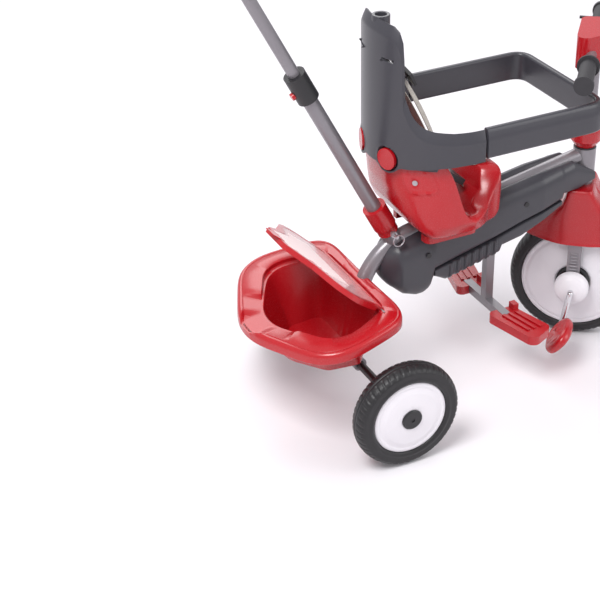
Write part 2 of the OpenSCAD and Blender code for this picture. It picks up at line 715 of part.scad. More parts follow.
module fork_hub_caps() color("#e9e6ea") on_front_axle() for (s = [-1, 1]) mirror([0, 0, s > 0 ? 0 : 1])
    rotate_extrude() polygon(concat([[6 + fit, 50], [12, 50], [12, 52], [34, 52], [34, 58]],
        [for (a = [15 : 15 : 75]) [34 * cos(a), 58 + 18 * sin(a)]], [[6 + fit, 76]]));

fender_low = 222;
fender_outer = [[-116, fender_low], [-94, 246], [-62, 276], [-34, 302], [-24, 338], [24, 338],
    [36, 312], [70, 286],
    [100, 254], [118, fender_low]];

module front_fender() color("#cc1f2a") steered() difference() {
    intersection() {
        side_plate(fender_outer, -66, 66);
        linear_extrude(400) polygon([[-117, -14], [-60, -44], [-26, -62], [26, -62], [70, -46], [119, -22],
            [119, 22], [70, 46], [26, 62], [-26, 62], [-60, 44], [-117, 14]]);
    }
    // room for the wheel and for the fork
    intersection() {
        side_plate([for (p = fender_outer) [p.x * 0.95, fender_low - 2 + (p.y - fender_low) * 0.93]],
            -59, 59);
        linear_extrude(400) polygon([[-108, -10], [-58, -40], [-25, -59], [25, -59], [68, -42], [118, -18],
            [118, 18], [68, 42], [25, 59], [-25, 59], [-58, 40], [-108, 10]]);
    }
    translate([0, 0, front_r]) rotate([90, 0, 0]) cylinder(h = 58, r = front_r + 4, center = true);
    translate([-16, -leg_in - leg_t, 180]) cube([32, 2 * (leg_in + leg_t), crown_top - 180]);
    translate([0, 0, 200]) cylinder(h = 200, r = 20 + fit);
}

module head_bush_lower() color("#1f1e20") translate([wheelbase, 0, 0]) difference() {
    union() {
        translate([0, 0, head_low - 3.5]) cylinder(h = 3.5, r = 21);
        translate([0, 0, head_low - 1]) cylinder(h = 16, r = 16);
    }
    translate([0, 0, head_low - 10]) cylinder(h = 40, r = 12 + fit);
}

module head_bush_upper() color("#1f1e20") translate([wheelbase, 0, 0]) difference() {
    union() {
        translate([0, 0, head_top]) cylinder(h = 3, r = 21);
        translate([0, 0, head_top - 16]) cylinder(h = 17, r = 16);
    }
    translate([0, 0, head_top - 20]) cylinder(h = 40, r = 12 + fit);
}

cup_z = head_top + 3.5;
bar_z = 616;

module handlebar_cup() color("#c41e2a") translate([wheelbase, 0, cup_z]) rotate_extrude()
    polygon([[12, 0], [20, 0], [30, 14], [32, 34], [30, 58], [22, 70], [12, 70]]);

module handlebar() color("#8e898e") steered() difference() {
    union() {
        translate([0, 0, bar_z]) rotate([90, 0, 0]) cylinder(h = 340, r = 10, center = true);
        translate([0, 0, cup_z + 71]) cylinder(h = bar_z - cup_z - 75, r = 16);
    }
    translate([0, 0, cup_z + 60]) cylinder(h = crown_z + 180 - cup_z - 60, r = 12);
}

module handlebar_shroud() color("#c41e2a") steered() difference() {
    translate([0, 0, bar_z - 26]) linear_extrude(62) hull() {
        translate([-12, 40]) circle(16);
        translate([-12, -40]) circle(16);
        translate([20, 0]) circle(24);
    }
    translate([0, 0, bar_z]) rotate([90, 0, 0]) cylinder(h = 340, r = 10, center = true);
    translate([0, 0, bar_z - 60]) cylinder(h = 64, r = 16);
}

module grip(s) steered() translate([0, s * 96, bar_z]) rotate([-90 * s, 0, 0]) difference() {
    union() {
        cylinder(h = 92, r = 15);
        cylinder(h = 5, r = 21);
        translate([0, 0, 87]) cylinder(h = 8, r = 18);
    }
    translate([0, 0, -1]) cylinder(h = 75, r = 10);
}

module grip_left() color("#2b2a2d") grip(1);
module grip_right() color("#2b2a2d") grip(-1);

bell_x = -12;
bell_y = 72;

module bell_base() color("#c41e2a") steered() translate([0, bell_y, bar_z]) difference() {
    union() {
        rotate([90, 0, 0]) cylinder(h = 16, r = 14, center = true);
        translate([0, 0, 10]) cylinder(h = 14, r = 17);
    }
    rotate([90, 0, 0]) cylinder(h = 40, r = 10, center = true);
    translate([bell_x, 0, 15.5]) cylinder(h = 20, r = 2 + fit);
}

module bell_lever() color("#2b2a2d") steered() translate([bell_x, bell_y, bar_z + 25]) union() {
    cylinder(h = 4, r = 4);
    translate([0, 0, -9]) cylinder(h = 10, r = 2);
    translate([-22, -3, 0]) cube([22, 6, 4]);
}

place() main_frame();
place() rear_axle();
place() axle_spacers();
place() body_cover_upper();
place() body_cover_lower();
place() cover_screws();
place() footrest_pin();
place() footrest_frame();
place() footrest_platform_left();
place() footrest_platform_right();
place() seat_shell();
place() seat_base();
place() seat_screws();
place() backrest();
place() harness_straps();
place() harness_buckle();
place() pommel_pad();
place() release_button_left();
place() release_button_right();
place() safety_bar();
place() storage_bin();
place() lid_frame();
place() lid_window();
place() lid_label();
place() lid_hinge_pins();
place() handle_collar();
place() handle_lower_tube();
place() handle_clamp();
place() handle_upper_tube();
place() handle_grip();
place() height_button();
place() locking_pin();
place() pin_ring();
place() rear_tyre_left();
place() rear_wheel_disc_left();
place() rear_bush_left();
place() hub_cap_left();
place() rear_tyre_right();
place() rear_wheel_disc_right();
place() rear_bush_right();
place() hub_cap_right();
place() front_tyre();
place() front_wheel_disc();
place() clutch_rings();
place() crank();
place() pedal_left();
place() pedal_right();
place() fork();
place() fork_hub_caps();
place() front_fender();
place() head_bush_lower();
place() head_bush_upper();
place() handlebar_cup();
place() handlebar();
place() handlebar_shroud();
place() grip_left();
place() grip_right();
place() bell_base();
place() bell_lever();
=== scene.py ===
# Children's push tricycle: the looks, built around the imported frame.
import json
import math

import bpy
import numpy as np
from mathutils import Matrix, Vector


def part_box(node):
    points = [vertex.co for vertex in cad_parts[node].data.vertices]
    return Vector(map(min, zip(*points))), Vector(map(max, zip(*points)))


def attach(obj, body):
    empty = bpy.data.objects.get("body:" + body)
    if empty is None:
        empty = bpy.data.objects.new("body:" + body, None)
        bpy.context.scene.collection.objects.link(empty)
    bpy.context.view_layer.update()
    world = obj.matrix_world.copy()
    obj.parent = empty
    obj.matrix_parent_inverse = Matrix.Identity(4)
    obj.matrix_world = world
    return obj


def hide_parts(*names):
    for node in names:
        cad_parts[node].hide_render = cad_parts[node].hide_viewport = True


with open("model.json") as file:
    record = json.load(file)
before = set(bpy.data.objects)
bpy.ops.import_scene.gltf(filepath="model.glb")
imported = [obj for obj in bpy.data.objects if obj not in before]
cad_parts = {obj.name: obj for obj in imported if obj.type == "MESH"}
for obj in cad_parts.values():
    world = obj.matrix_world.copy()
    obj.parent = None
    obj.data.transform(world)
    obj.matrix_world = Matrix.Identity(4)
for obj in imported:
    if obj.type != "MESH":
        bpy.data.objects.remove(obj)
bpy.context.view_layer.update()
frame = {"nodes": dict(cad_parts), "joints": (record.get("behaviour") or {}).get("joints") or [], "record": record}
joints = {j["name"]: j for j in frame["joints"]}
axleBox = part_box("rear_axle")
# shapes below are worked out in millimetres with x = 0 at the rear axle
axleX = (axleBox[0].x + axleBox[1].x) / 2 * 1000
steerX = joints["steering_turn"]["pos_m"][0] * 1000 - axleX
wheelAxis = joints["front_wheel_spin"]["axis"]
steerAngle = math.atan2(-wheelAxis[0], wheelAxis[1])


# small helpers

def toRow(points):
    # millimetres from the rear axle to metres in the row frame
    return (np.asarray(points, float) + [axleX, 0, 0]) * 0.001


def steered(points):
    # from the wheel's own frame (x forward, z up, origin under the steering axis)
    p = np.asarray(points, float)
    c, s = math.cos(steerAngle), math.sin(steerAngle)
    ahead, left = p[..., 0] * c - p[..., 1] * s, p[..., 0] * s + p[..., 1] * c
    return np.stack([steerX + ahead, left, p[..., 2]], -1)


def smooth(t):
    # 0 below 0, 1 above 1, and an S between
    t = np.clip(t, 0, 1)
    return t * t * (3 - 2 * t)


def quads(m, n, wrapU, wrapV):
    # the four corners of each cell of an m by n grid, as one array
    i = np.arange(m if wrapU else m - 1)[:, None]
    j = np.arange(n if wrapV else n - 1)[None, :]
    a, b = i * n + j, ((i + 1) % m) * n + j
    c, d = ((i + 1) % m) * n + (j + 1) % n, i * n + (j + 1) % n
    return np.stack([a, b, c, d], -1).reshape(-1, 4)


def closedGrid(points, wrapU=False, capStart=True, capEnd=True):
    # rings (second axis) carried along the first one, each open end closed by a fan to its middle
    m, n = points.shape[:2]
    verts = points.reshape(-1, 3)
    faces = [quads(m, n, wrapU, True)]
    ring = np.arange(n)
    if not wrapU and capStart:
        verts = np.vstack([verts, points[0].mean(0)])
        faces.append(np.stack([ring, (ring + 1) % n, np.full(n, len(verts) - 1)], -1))
    if not wrapU and capEnd:
        verts = np.vstack([verts, points[-1].mean(0)])
        far = (m - 1) * n
        faces.append(np.stack([far + (ring + 1) % n, far + ring, np.full(n, len(verts) - 1)], -1))
    return verts, faces


def joined(parts):
    # several shells as one mesh
    verts, faces, start = [], [], 0
    for v, f in parts:
        verts.append(v)
        faces += [x + start for x in f]
        start += len(v)
    return np.vstack(verts), faces


def outwards(verts, faces):
    # turns a closed shell's faces round if its volume comes out negative
    volume = 0.0
    for f in faces:
        for k in range(1, f.shape[1] - 1):
            a, b, c = verts[f[:, 0]], verts[f[:, k]], verts[f[:, k + 1]]
            volume += np.einsum("ij,ij->i", a, np.cross(b, c)).sum()
    return [f[:, ::-1] for f in faces] if volume < 0 else faces


def piece(name, shell, body, material, stands=(), wall=0.0, bevel=0.0, sharp=40, keep=False):
    # a mesh from arrays, riding on its body; wall and bevel are in millimetres
    verts, faces = shell
    if not keep:
        faces = outwards(verts, faces)
    mesh = bpy.data.meshes.new(name)
    mesh.from_pydata(toRow(verts).tolist(), [], [row for f in faces for row in f.tolist()])
    mesh.validate()
    mesh.shade_smooth()
    mesh.set_sharp_from_angle(angle=math.radians(sharp))
    mesh.materials.append(material)
    obj = bpy.data.objects.new(name, mesh)
    bpy.context.scene.collection.objects.link(obj)
    if wall:
        m = obj.modifiers.new("wall", "SOLIDIFY")
        m.thickness, m.offset, m.use_even_offset = wall * 0.001, -1, False
    if bevel:
        m = obj.modifiers.new("edges", "BEVEL")
        m.width, m.segments, m.limit_method, m.angle_limit = bevel * 0.001, 3, "ANGLE", math.radians(50)
    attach(obj, body)
    if stands:
        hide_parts(*stands)
    return obj


def ringPoints(n, a, b, power=2.0):
    # superellipse: half sizes a and b, power 2 is an ellipse and a higher one squarer
    t = np.linspace(0, 2 * np.pi, n, endpoint=False)
    c, s = np.cos(t), np.sin(t)
    return np.stack([a * np.sign(c) * abs(c) ** (2 / power), b * np.sign(s) * abs(s) ** (2 / power)], -1)


def roundPath(points, radius, n=8):
    # straight legs joined by arcs of up to the given radius, as points
    p = np.asarray(points, float)
    out = [p[0][None]]
    for a, b, c in zip(p[:-2], p[1:-1], p[2:]):
        u, v = (a - b) / np.linalg.norm(a - b), (c - b) / np.linalg.norm(c - b)
        half = math.acos(np.clip(u @ v, -1, 1)) / 2
        reach = min(radius / math.tan(half), 0.48 * np.linalg.norm(a - b), 0.48 * np.linalg.norm(c - b))
        t = np.linspace(0, 1, n)[:, None]
        out.append((1 - t) ** 2 * (b + u * reach) + 2 * t * (1 - t) * b + t ** 2 * (b + v * reach))
    out.append(p[-1][None])
    return np.vstack(out)


def spaced(path, step):
    # the same path with points a step apart
    d = np.r_[0, np.cumsum(np.linalg.norm(np.diff(path, axis=0), axis=1))]
    s = np.linspace(0, d[-1], max(2, int(d[-1] / step) + 1))
    return np.stack([np.interp(s, d, path[:, k]) for k in range(path.shape[1])], -1)


def carried(path, section, up, ends=0.0):
    # a closed section (side, up) carried along a path; its two ends shrink over the length ends to round them
    t = np.gradient(path, axis=0)
    t /= np.linalg.norm(t, axis=1)[:, None]
    side = np.cross(t, np.asarray(up, float))
    side /= np.linalg.norm(side, axis=1)[:, None]
    top = np.cross(side, t)
    scale = np.ones(len(path))
    if ends:
        d = np.r_[0, np.cumsum(np.linalg.norm(np.diff(path, axis=0), axis=1))]
        near = np.clip(np.minimum(d, d[-1] - d) / ends, 0, 1)
        scale = np.sqrt(np.clip(1 - (1 - near) ** 2, 0.0004, 1))
    sec = section[None] * scale[:, None, None]
    return closedGrid(path[:, None] + sec[..., :1] * side[:, None] + sec[..., 1:] * top[:, None])


def turned(profile, centre, axis, n=96, groove=None):
    # a closed outline (distance, along) turned about an axis; groove(angle, distance, along) moves a point out
    pr = np.asarray(profile, float)
    a = Vector(axis).normalized()
    u = np.array(a.orthogonal().normalized())
    v = np.cross(np.array(a), u)
    t = np.linspace(0, 2 * np.pi, n, endpoint=False)[:, None]
    r = pr[None, :, 0] + (groove(t, pr[None, :, 0], pr[None, :, 1]) if groove else 0 * t)
    spoke = np.cos(t)[..., None] * u + np.sin(t)[..., None] * v
    pts = np.asarray(centre, float) + r[..., None] * spoke + pr[None, :, 1, None] * np.array(a)
    if pr[0, 0] > 0.01:
        return pts.reshape(-1, 3), [quads(n, len(pr), True, True)]
    # the outline starts and ends on the axis: both poles are one vertex each
    inner = pts[:, 1:-1]
    verts = np.vstack([inner.reshape(-1, 3), pts[0, 0], pts[0, -1]])
    m, k = n, len(pr) - 2
    i = np.arange(m)
    faces = [quads(m, k, True, False)]
    faces.append(np.stack([i * k, ((i + 1) % m) * k, np.full(m, len(verts) - 2)], -1))
    faces.append(np.stack([((i + 1) % m) * k + k - 1, i * k + k - 1, np.full(m, len(verts) - 1)], -1))
    return verts, faces


def softened(profile, radius, n=4, closed=True):
    # an outline with its corners cut by small curves
    p = np.asarray(profile, float)
    out = []
    count = len(p)
    for i in range(count):
        if not closed and i in (0, count - 1):
            out.append(p[i][None])
            continue
        a, b, c = p[i - 1], p[i], p[(i + 1) % count]
        la, lc = np.linalg.norm(a - b), np.linalg.norm(c - b)
        reach = min(radius, 0.45 * la, 0.45 * lc)
        t = np.linspace(0, 1, n)[:, None]
        p0, p2 = b + (a - b) / la * reach, b + (c - b) / lc * reach
        out.append((1 - t) ** 2 * p0 + 2 * t * (1 - t) * b + t ** 2 * p2)
    return np.vstack(out)


def around(circles, grow):
    # the outline drawn tightly round circles (x, y, r) listed counter-clockwise
    c = np.array(circles, float)
    c[:, 2] = np.maximum(3, c[:, 2] + grow)
    out = []
    for i in range(len(c)):
        p, q, s = c[i - 1], c[i], c[(i + 1) % len(c)]
        touch = [math.atan2(f[1] - e[1], f[0] - e[0]) - math.acos((e[2] - f[2]) / math.hypot(*(f - e)[:2]))
                 for e, f in ((p, q), (q, s))]
        turn = (touch[1] - touch[0]) % (2 * math.pi)
        a = touch[0] + np.linspace(0, turn, max(2, int(turn / 0.05)))
        out.append(np.stack([q[0] + q[2] * np.cos(a), q[1] + q[2] * np.sin(a)], -1))
    return np.vstack(out)


def radiusAt(outline, centre, angles):
    # how far a star-shaped outline is from centre in each direction
    d = outline - np.asarray(centre, float)
    # more points on each stretch, so that straight sides stay straight
    k = np.linspace(0, 1, 9)[:-1]
    nxt = np.roll(d, -1, 0)
    fine = (d[:, None] * (1 - k)[None, :, None] + nxt[:, None] * k[None, :, None]).reshape(-1, 2)
    a, r = np.arctan2(fine[:, 1], fine[:, 0]), np.hypot(fine[:, 0], fine[:, 1])
    order = np.argsort(a)
    return np.interp(angles, a[order], r[order], period=2 * np.pi)


# materials

def hexLinear(code):
    # sRGB hex to linear colour
    c = np.array([int(code[i:i + 2], 16) for i in (1, 3, 5)]) / 255
    c = np.where(c <= 0.04045, c / 12.92, ((c + 0.055) / 1.055) ** 2.4)
    return (*c.tolist(), 1.0)


def addNode(mat, kind, links=(), **settings):
    # adds a node, sets its sockets or properties by name, and links (socket, from node, from socket)
    node = mat.node_tree.nodes.new(kind)
    for key, value in settings.items():
        if hasattr(node, key):
            setattr(node, key, value)
        else:
            node.inputs[key.replace("_", " ")].default_value = value
    for socket, source, out in links:
        mat.node_tree.links.new(source.outputs[out], node.inputs[socket])
    return node


def baseMaterial(name):
    mat = bpy.data.materials.new(name)
    mat.use_nodes = True
    mat.node_tree.nodes.clear()
    shader = addNode(mat, "ShaderNodeBsdfPrincipled")
    addNode(mat, "ShaderNodeOutputMaterial", [("Surface", shader, "BSDF")])
    return mat, shader


def plain(mat, shader, colourA, colourB, rough, grain, relief, patch=14.0, turn=(0, 0, 0)):
    # colour drifts slowly between two close tones, roughness varies, and a fine grain lifts the surface
    place = addNode(mat, "ShaderNodeTexCoord")
    drift = addNode(mat, "ShaderNodeTexNoise", [("Vector", place, "Object")], Scale=patch, Detail=4.0)
    mixer = addNode(mat, "ShaderNodeMix", [("Factor", drift, "Fac")], data_type="RGBA")
    mixer.inputs[6].default_value, mixer.inputs[7].default_value = hexLinear(colourA), hexLinear(colourB)
    mat.node_tree.links.new(mixer.outputs[2], shader.inputs["Base Color"])
    fine = addNode(mat, "ShaderNodeTexNoise", [("Vector", place, "Object")], Scale=grain, Detail=3.0)
    span = addNode(mat, "ShaderNodeMapRange", [("Value", fine, "Fac")])
    span.inputs["To Min"].default_value, span.inputs["To Max"].default_value = rough
    mat.node_tree.links.new(span.outputs["Result"], shader.inputs["Roughness"])
    bump = addNode(mat, "ShaderNodeBump", [("Height", fine, "Fac")], Strength=relief, Distance=0.0004)
    mat.node_tree.links.new(bump.outputs["Normal"], shader.inputs["Normal"])


def glossyRed():
    # injection-moulded polypropylene, polished tool: bright red, soft reflections, faint flow ripple
    mat, s = baseMaterial("mouldedRedPolypropylene")
    plain(mat, s, "#b2121c", "#a80f19", (0.2, 0.32), 900.0, 0.1)
    s.inputs["IOR"].default_value = 1.49
    s.inputs["Subsurface Weight"].default_value = 0.06
    s.inputs["Subsurface Radius"].default_value = (0.004, 0.0008, 0.0005)
    s.inputs["Coat Weight"].default_value = 0.25
    s.inputs["Coat Roughness"].default_value = 0.18
    return mat


def satinGrey():
    # injection-moulded polypropylene with a fine spark-eroded texture: dark grey, satin
    mat, s = baseMaterial("mouldedGreyPolypropylene")
    plain(mat, s, "#3d3c42", "#38373d", (0.26, 0.38), 1400.0, 0.16)
    s.inputs["IOR"].default_value = 1.49
    return mat


def paintedTube():
    # powder-coated steel tube: silver-grey with fine metal flake and slight orange peel
    mat, s = baseMaterial("powderCoatedSteel")
    plain(mat, s, "#8a868a", "#7d797e", (0.26, 0.38), 1100.0, 0.15)
    s.inputs["Metallic"].default_value = 0.45
    s.inputs["Coat Weight"].default_value = 0.2
    s.inputs["Coat Roughness"].default_value = 0.25
    return mat


def glossyWhite():
    # moulded white polypropylene: faintly warm, half gloss
    mat, s = baseMaterial("mouldedWhitePolypropylene")
    plain(mat, s, "#e6e2e6", "#dedadf", (0.3, 0.4), 900.0, 0.1)
    s.inputs["IOR"].default_value = 1.49
    s.inputs["Subsurface Weight"].default_value = 0.08
    s.inputs["Subsurface Radius"].default_value = (0.003, 0.003, 0.003)
    return mat


def blownTyre():
    # blow-moulded black plastic tyre: dull, scuffed lighter on the tread
    mat, s = baseMaterial("blowMouldedTyre")
    plain(mat, s, "#161517", "#1f1d20", (0.36, 0.52), 600.0, 0.3, patch=45.0)
    return mat


def blackPlastic():
    # moulded black nylon: satin
    mat, s = baseMaterial("mouldedBlackNylon")
    plain(mat, s, "#1d1c1e", "#232225", (0.35, 0.5), 1200.0, 0.15)
    return mat


def softRubber():
    # soft touch thermoplastic rubber: dull, faint bloom
    mat, s = baseMaterial("softTouchRubber")
    plain(mat, s, "#29282b", "#343236", (0.6, 0.75), 1500.0, 0.3)
    return mat


def chromedSteel():
    # chrome-plated bent rod: mirror bright, a little dust
    mat, s = baseMaterial("chromePlatedSteel")
    plain(mat, s, "#d9d7da", "#cfcdd1", (0.07, 0.16), 500.0, 0.03)
    s.inputs["Metallic"].default_value = 1.0
    return mat


def bareSteel(code, shade):
    # turned steel left bare: dull sheen
    mat, s = baseMaterial("turnedSteel" + code[1:])
    plain(mat, s, code, shade, (0.32, 0.5), 700.0, 0.1)
    s.inputs["Metallic"].default_value = 0.9
    return mat


def naturalNylon():
    # natural nylon bush: off-white, waxy
    mat, s = baseMaterial("naturalNylon")
    plain(mat, s, "#d8d4ca", "#cfcabf", (0.4, 0.5), 800.0, 0.1)
    s.inputs["Subsurface Weight"].default_value = 0.1
    s.inputs["Subsurface Radius"].default_value = (0.003, 0.003, 0.002)
    return mat


def clearWindow():
    # thin clear moulding over the red lid: lets light through with a pink cast
    mat, s = baseMaterial("tintedPolycarbonate")
    plain(mat, s, "#eec3c4", "#e7b4b6", (0.12, 0.2), 400.0, 0.05)
    s.inputs["IOR"].default_value = 1.5
    s.inputs["Transmission Weight"].default_value = 0.35
    s.inputs["Alpha"].default_value = 0.9
    return mat


def printedLabel():
    # printed film, pale with plain pink stripes 14 mm apart: stands in for a printed sheet
    mat, s = baseMaterial("stripedFilm")
    place = addNode(mat, "ShaderNodeTexCoord")
    split = addNode(mat, "ShaderNodeSeparateXYZ", [("Vector", place, "Object")])
    wave = addNode(mat, "ShaderNodeMath", [(0, split, "Y")], operation="MULTIPLY")
    wave.inputs[1].default_value = 2 * math.pi / 0.014
    sine = addNode(mat, "ShaderNodeMath", [(0, wave, "Value")], operation="SINE")
    cut = addNode(mat, "ShaderNodeMapRange", [("Value", sine, "Value")])
    cut.inputs["From Min"].default_value, cut.inputs["From Max"].default_value = 0.55, 0.7
    mixer = addNode(mat, "ShaderNodeMix", [("Factor", cut, "Result")], data_type="RGBA")
    mixer.inputs[6].default_value, mixer.inputs[7].default_value = hexLinear("#efe6e4"), hexLinear("#dd9a9b")
    mat.node_tree.links.new(mixer.outputs[2], s.inputs["Base Color"])
    s.inputs["Roughness"].default_value = 0.35
    return mat


def webbing():
    # woven polypropylene webbing, ribs 2 mm apart across its length
    mat, s = baseMaterial("wovenWebbing")
    uv = addNode(mat, "ShaderNodeUVMap", uv_map="weave")
    split = addNode(mat, "ShaderNodeSeparateXYZ", [("Vector", uv, "UV")])
    waves = []
    for axis, pitch in (("X", 0.0024), ("Y", 0.002)):
        w = addNode(mat, "ShaderNodeMath", [(0, split, axis)], operation="MULTIPLY")
        w.inputs[1].default_value = 2 * math.pi / pitch
        waves.append(addNode(mat, "ShaderNodeMath", [(0, w, "Value")], operation="SINE"))
    both = [(0, waves[0], "Value"), (1, waves[1], "Value")]
    weave = addNode(mat, "ShaderNodeMath", both, operation="MULTIPLY")
    span = addNode(mat, "ShaderNodeMapRange", [("Value", weave, "Value")])
    span.inputs["From Min"].default_value = -1.0
    mixer = addNode(mat, "ShaderNodeMix", [("Factor", span, "Result")], data_type="RGBA")
    mixer.inputs[6].default_value, mixer.inputs[7].default_value = hexLinear("#a29b90"), hexLinear("#c4bdb2")
    mat.node_tree.links.new(mixer.outputs[2], s.inputs["Base Color"])
    bump = addNode(mat, "ShaderNodeBump", [("Height", span, "Result")], Strength=0.6, Distance=0.0005)
    mat.node_tree.links.new(bump.outputs["Normal"], s.inputs["Normal"])
    s.inputs["Roughness"].default_value = 0.8
    s.inputs["Sheen Weight"].default_value = 0.3
    return mat


def padCloth():
    # knitted polyester over foam, stitches about 1.5 mm
    mat, s = baseMaterial("knittedPolyester")
    place = addNode(mat, "ShaderNodeTexCoord")
    knit = addNode(mat, "ShaderNodeTexVoronoi", [("Vector", place, "Object")], Scale=650.0)
    mixer = addNode(mat, "ShaderNodeMix", [("Factor", knit, "Distance")], data_type="RGBA")
    mixer.inputs[6].default_value, mixer.inputs[7].default_value = hexLinear("#ddd8d2"), hexLinear("#c4beb7")
    mat.node_tree.links.new(mixer.outputs[2], s.inputs["Base Color"])
    bump = addNode(mat, "ShaderNodeBump", [("Height", knit, "Distance")], Strength=0.4, Distance=0.0006)
    mat.node_tree.links.new(bump.outputs["Normal"], s.inputs["Normal"])
    s.inputs["Roughness"].default_value = 0.9
    s.inputs["Sheen Weight"].default_value = 0.5
    return mat


red, grey, tube, white, tyre = glossyRed(), satinGrey(), paintedTube(), glossyWhite(), blownTyre()
black, rubber, chrome, nylon = blackPlastic(), softRubber(), chromedSteel(), naturalNylon()
window, label, strapWeave, padKnit = clearWindow(), printedLabel(), webbing(), padCloth()
axleSteel, brightSteel = bareSteel("#4c4546", "#443e3f"), bareSteel("#b9b6ba", "#aaa7ab")
bySlot = {"frame_grey": tube, "bare_steel": brightSteel, "black_plastic": black, "dark_grey_plastic": grey,
          "red_plastic": red, "webbing": strapWeave, "pad_fabric": padKnit, "window_plastic": window,
          "label_film": label, "grip_rubber": rubber, "tyre_plastic": tyre, "white_plastic": white,
          "bush_nylon": nylon, "chromed_rod": chrome}
for sub in frame["record"]["subparts"]:
    node = frame["nodes"][sub["node"]]
    node.data.materials.clear()
    node.data.materials.append(axleSteel if sub["node"] == "rear_axle" else bySlot[sub["material_slot"]])
print("materials on the frame")

# camera, floor and light
cameraSpot = {"place": (axleX * 0.001 - 1.1188, -2.1919, 1.7082), "yaw": 25.064,
              "pitch": 31.289, "roll": -1.291, "lens": 92.63}
cam = bpy.data.objects.new("camera", bpy.data.cameras.new("camera"))
bpy.context.scene.collection.objects.link(cam)
yaw, pitch = math.radians(cameraSpot["yaw"]), math.radians(cameraSpot["pitch"])
forward = Vector((math.sin(yaw) * math.cos(pitch), math.cos(yaw) * math.cos(pitch), -math.sin(pitch)))
level = Vector((math.cos(yaw), -math.sin(yaw), 0))
upright = level.cross(forward)
roll = math.radians(cameraSpot["roll"])
right = level * math.cos(roll) + upright * math.sin(roll)
top = upright * math.cos(roll) - level * math.sin(roll)
cam.matrix_world = Matrix((right, top, -forward)).transposed().to_4x4()
cam.location = cameraSpot["place"]
cam.data.lens, cam.data.sensor_width = cameraSpot["lens"], 36
cam.data.clip_end = 60
bpy.context.scene.camera = cam

floorMat, floorShader = baseMaterial("paintedFloor")
plain(floorMat, floorShader, "#e9e6e9", "#e6e3e7", (0.55, 0.65), 60.0, 0.02, patch=1.2)
floorMesh = bpy.data.meshes.new("floor")
floorMesh.from_pydata([(-45, -45, 0), (45, -45, 0), (45, 45, 0), (-45, 45, 0)], [], [(0, 1, 2, 3)])
floorMesh.materials.append(floorMat)
floor = bpy.data.objects.new("floor", floorMesh)
bpy.context.scene.collection.objects.link(floor)
world = bpy.data.worlds.new("studio")
bpy.context.scene.world = world
bpy.context.scene.view_settings.view_transform = "Standard"
world.use_nodes = True
world.node_tree.nodes["Background"].inputs["Color"].default_value = (0.93, 0.93, 0.96, 1)
world.node_tree.nodes["Background"].inputs["Strength"].default_value = 0.75
for name, spot, size, power in (("key", (-1.5, -0.9, 2.7), 1.2, 70), ("fill", (2.4, -2.2, 2.2), 2.0, 36),
                                ("back", (0.6, 2.6, 2.4), 2.2, 42)):
    lamp = bpy.data.objects.new(name, bpy.data.lights.new(name, "AREA"))
    lamp.data.size, lamp.data.energy = size, power
    lamp.location = spot
    lamp.rotation_euler = (Vector((0, 0, 0.35)) - Vector(spot)).to_track_quat("-Z", "Y").to_euler()
    bpy.context.scene.collection.objects.link(lamp)
print("camera and studio")


# seat: bucket shell with rolled rim, pommel in front
seat = {"centre": (187, 0), "columns": 300, "bottom": 342, "floor": 376, "wall": 8, "planRadius": 130,
        "nose": [(204, -129), (262, -72), (300, -56), (311, -32), (311, 32), (300, 56), (262, 72), (204, 129)],
        "panel": [(70, 488), (121, 499), (141, 457), (86, 451)], "panelRadius": 128, "border": 1.5,
        "screw": (43, 472),
        "rear": [(342, 51), (372, 83), (404, 104), (448, 121), (491, 133), (524, 135)],
        "front": [(342, 99), (357, 117), (402, 122), (438, 116), (450, 112)],
        "side": [(342, 60), (360, 112), (384, 130), (600, 130)],
        "innerRear": [(376, 47), (392, 75), (412, 92), (450, 109), (492, 121), (524, 125)],
        "innerFront": [(376, 30), (382, 39), (404, 63), (440, 78), (450, 80)],
        "innerSide": [(376, 84), (392, 116), (410, 122), (600, 122)],
        "rim": [(40, 524), (137, 512), (149, 490), (159, 469), (165, 449), (171, 425), (178, 403), (190, 390),
                (206, 386), (236, 386), (248, 392), (260, 413), (272, 433), (282, 444), (290, 443), (320, 436)],
        "hump": [(0, 446), (34, 446), (50, 437), (62, 418), (74, 398), (88, 387), (140, 386)]}


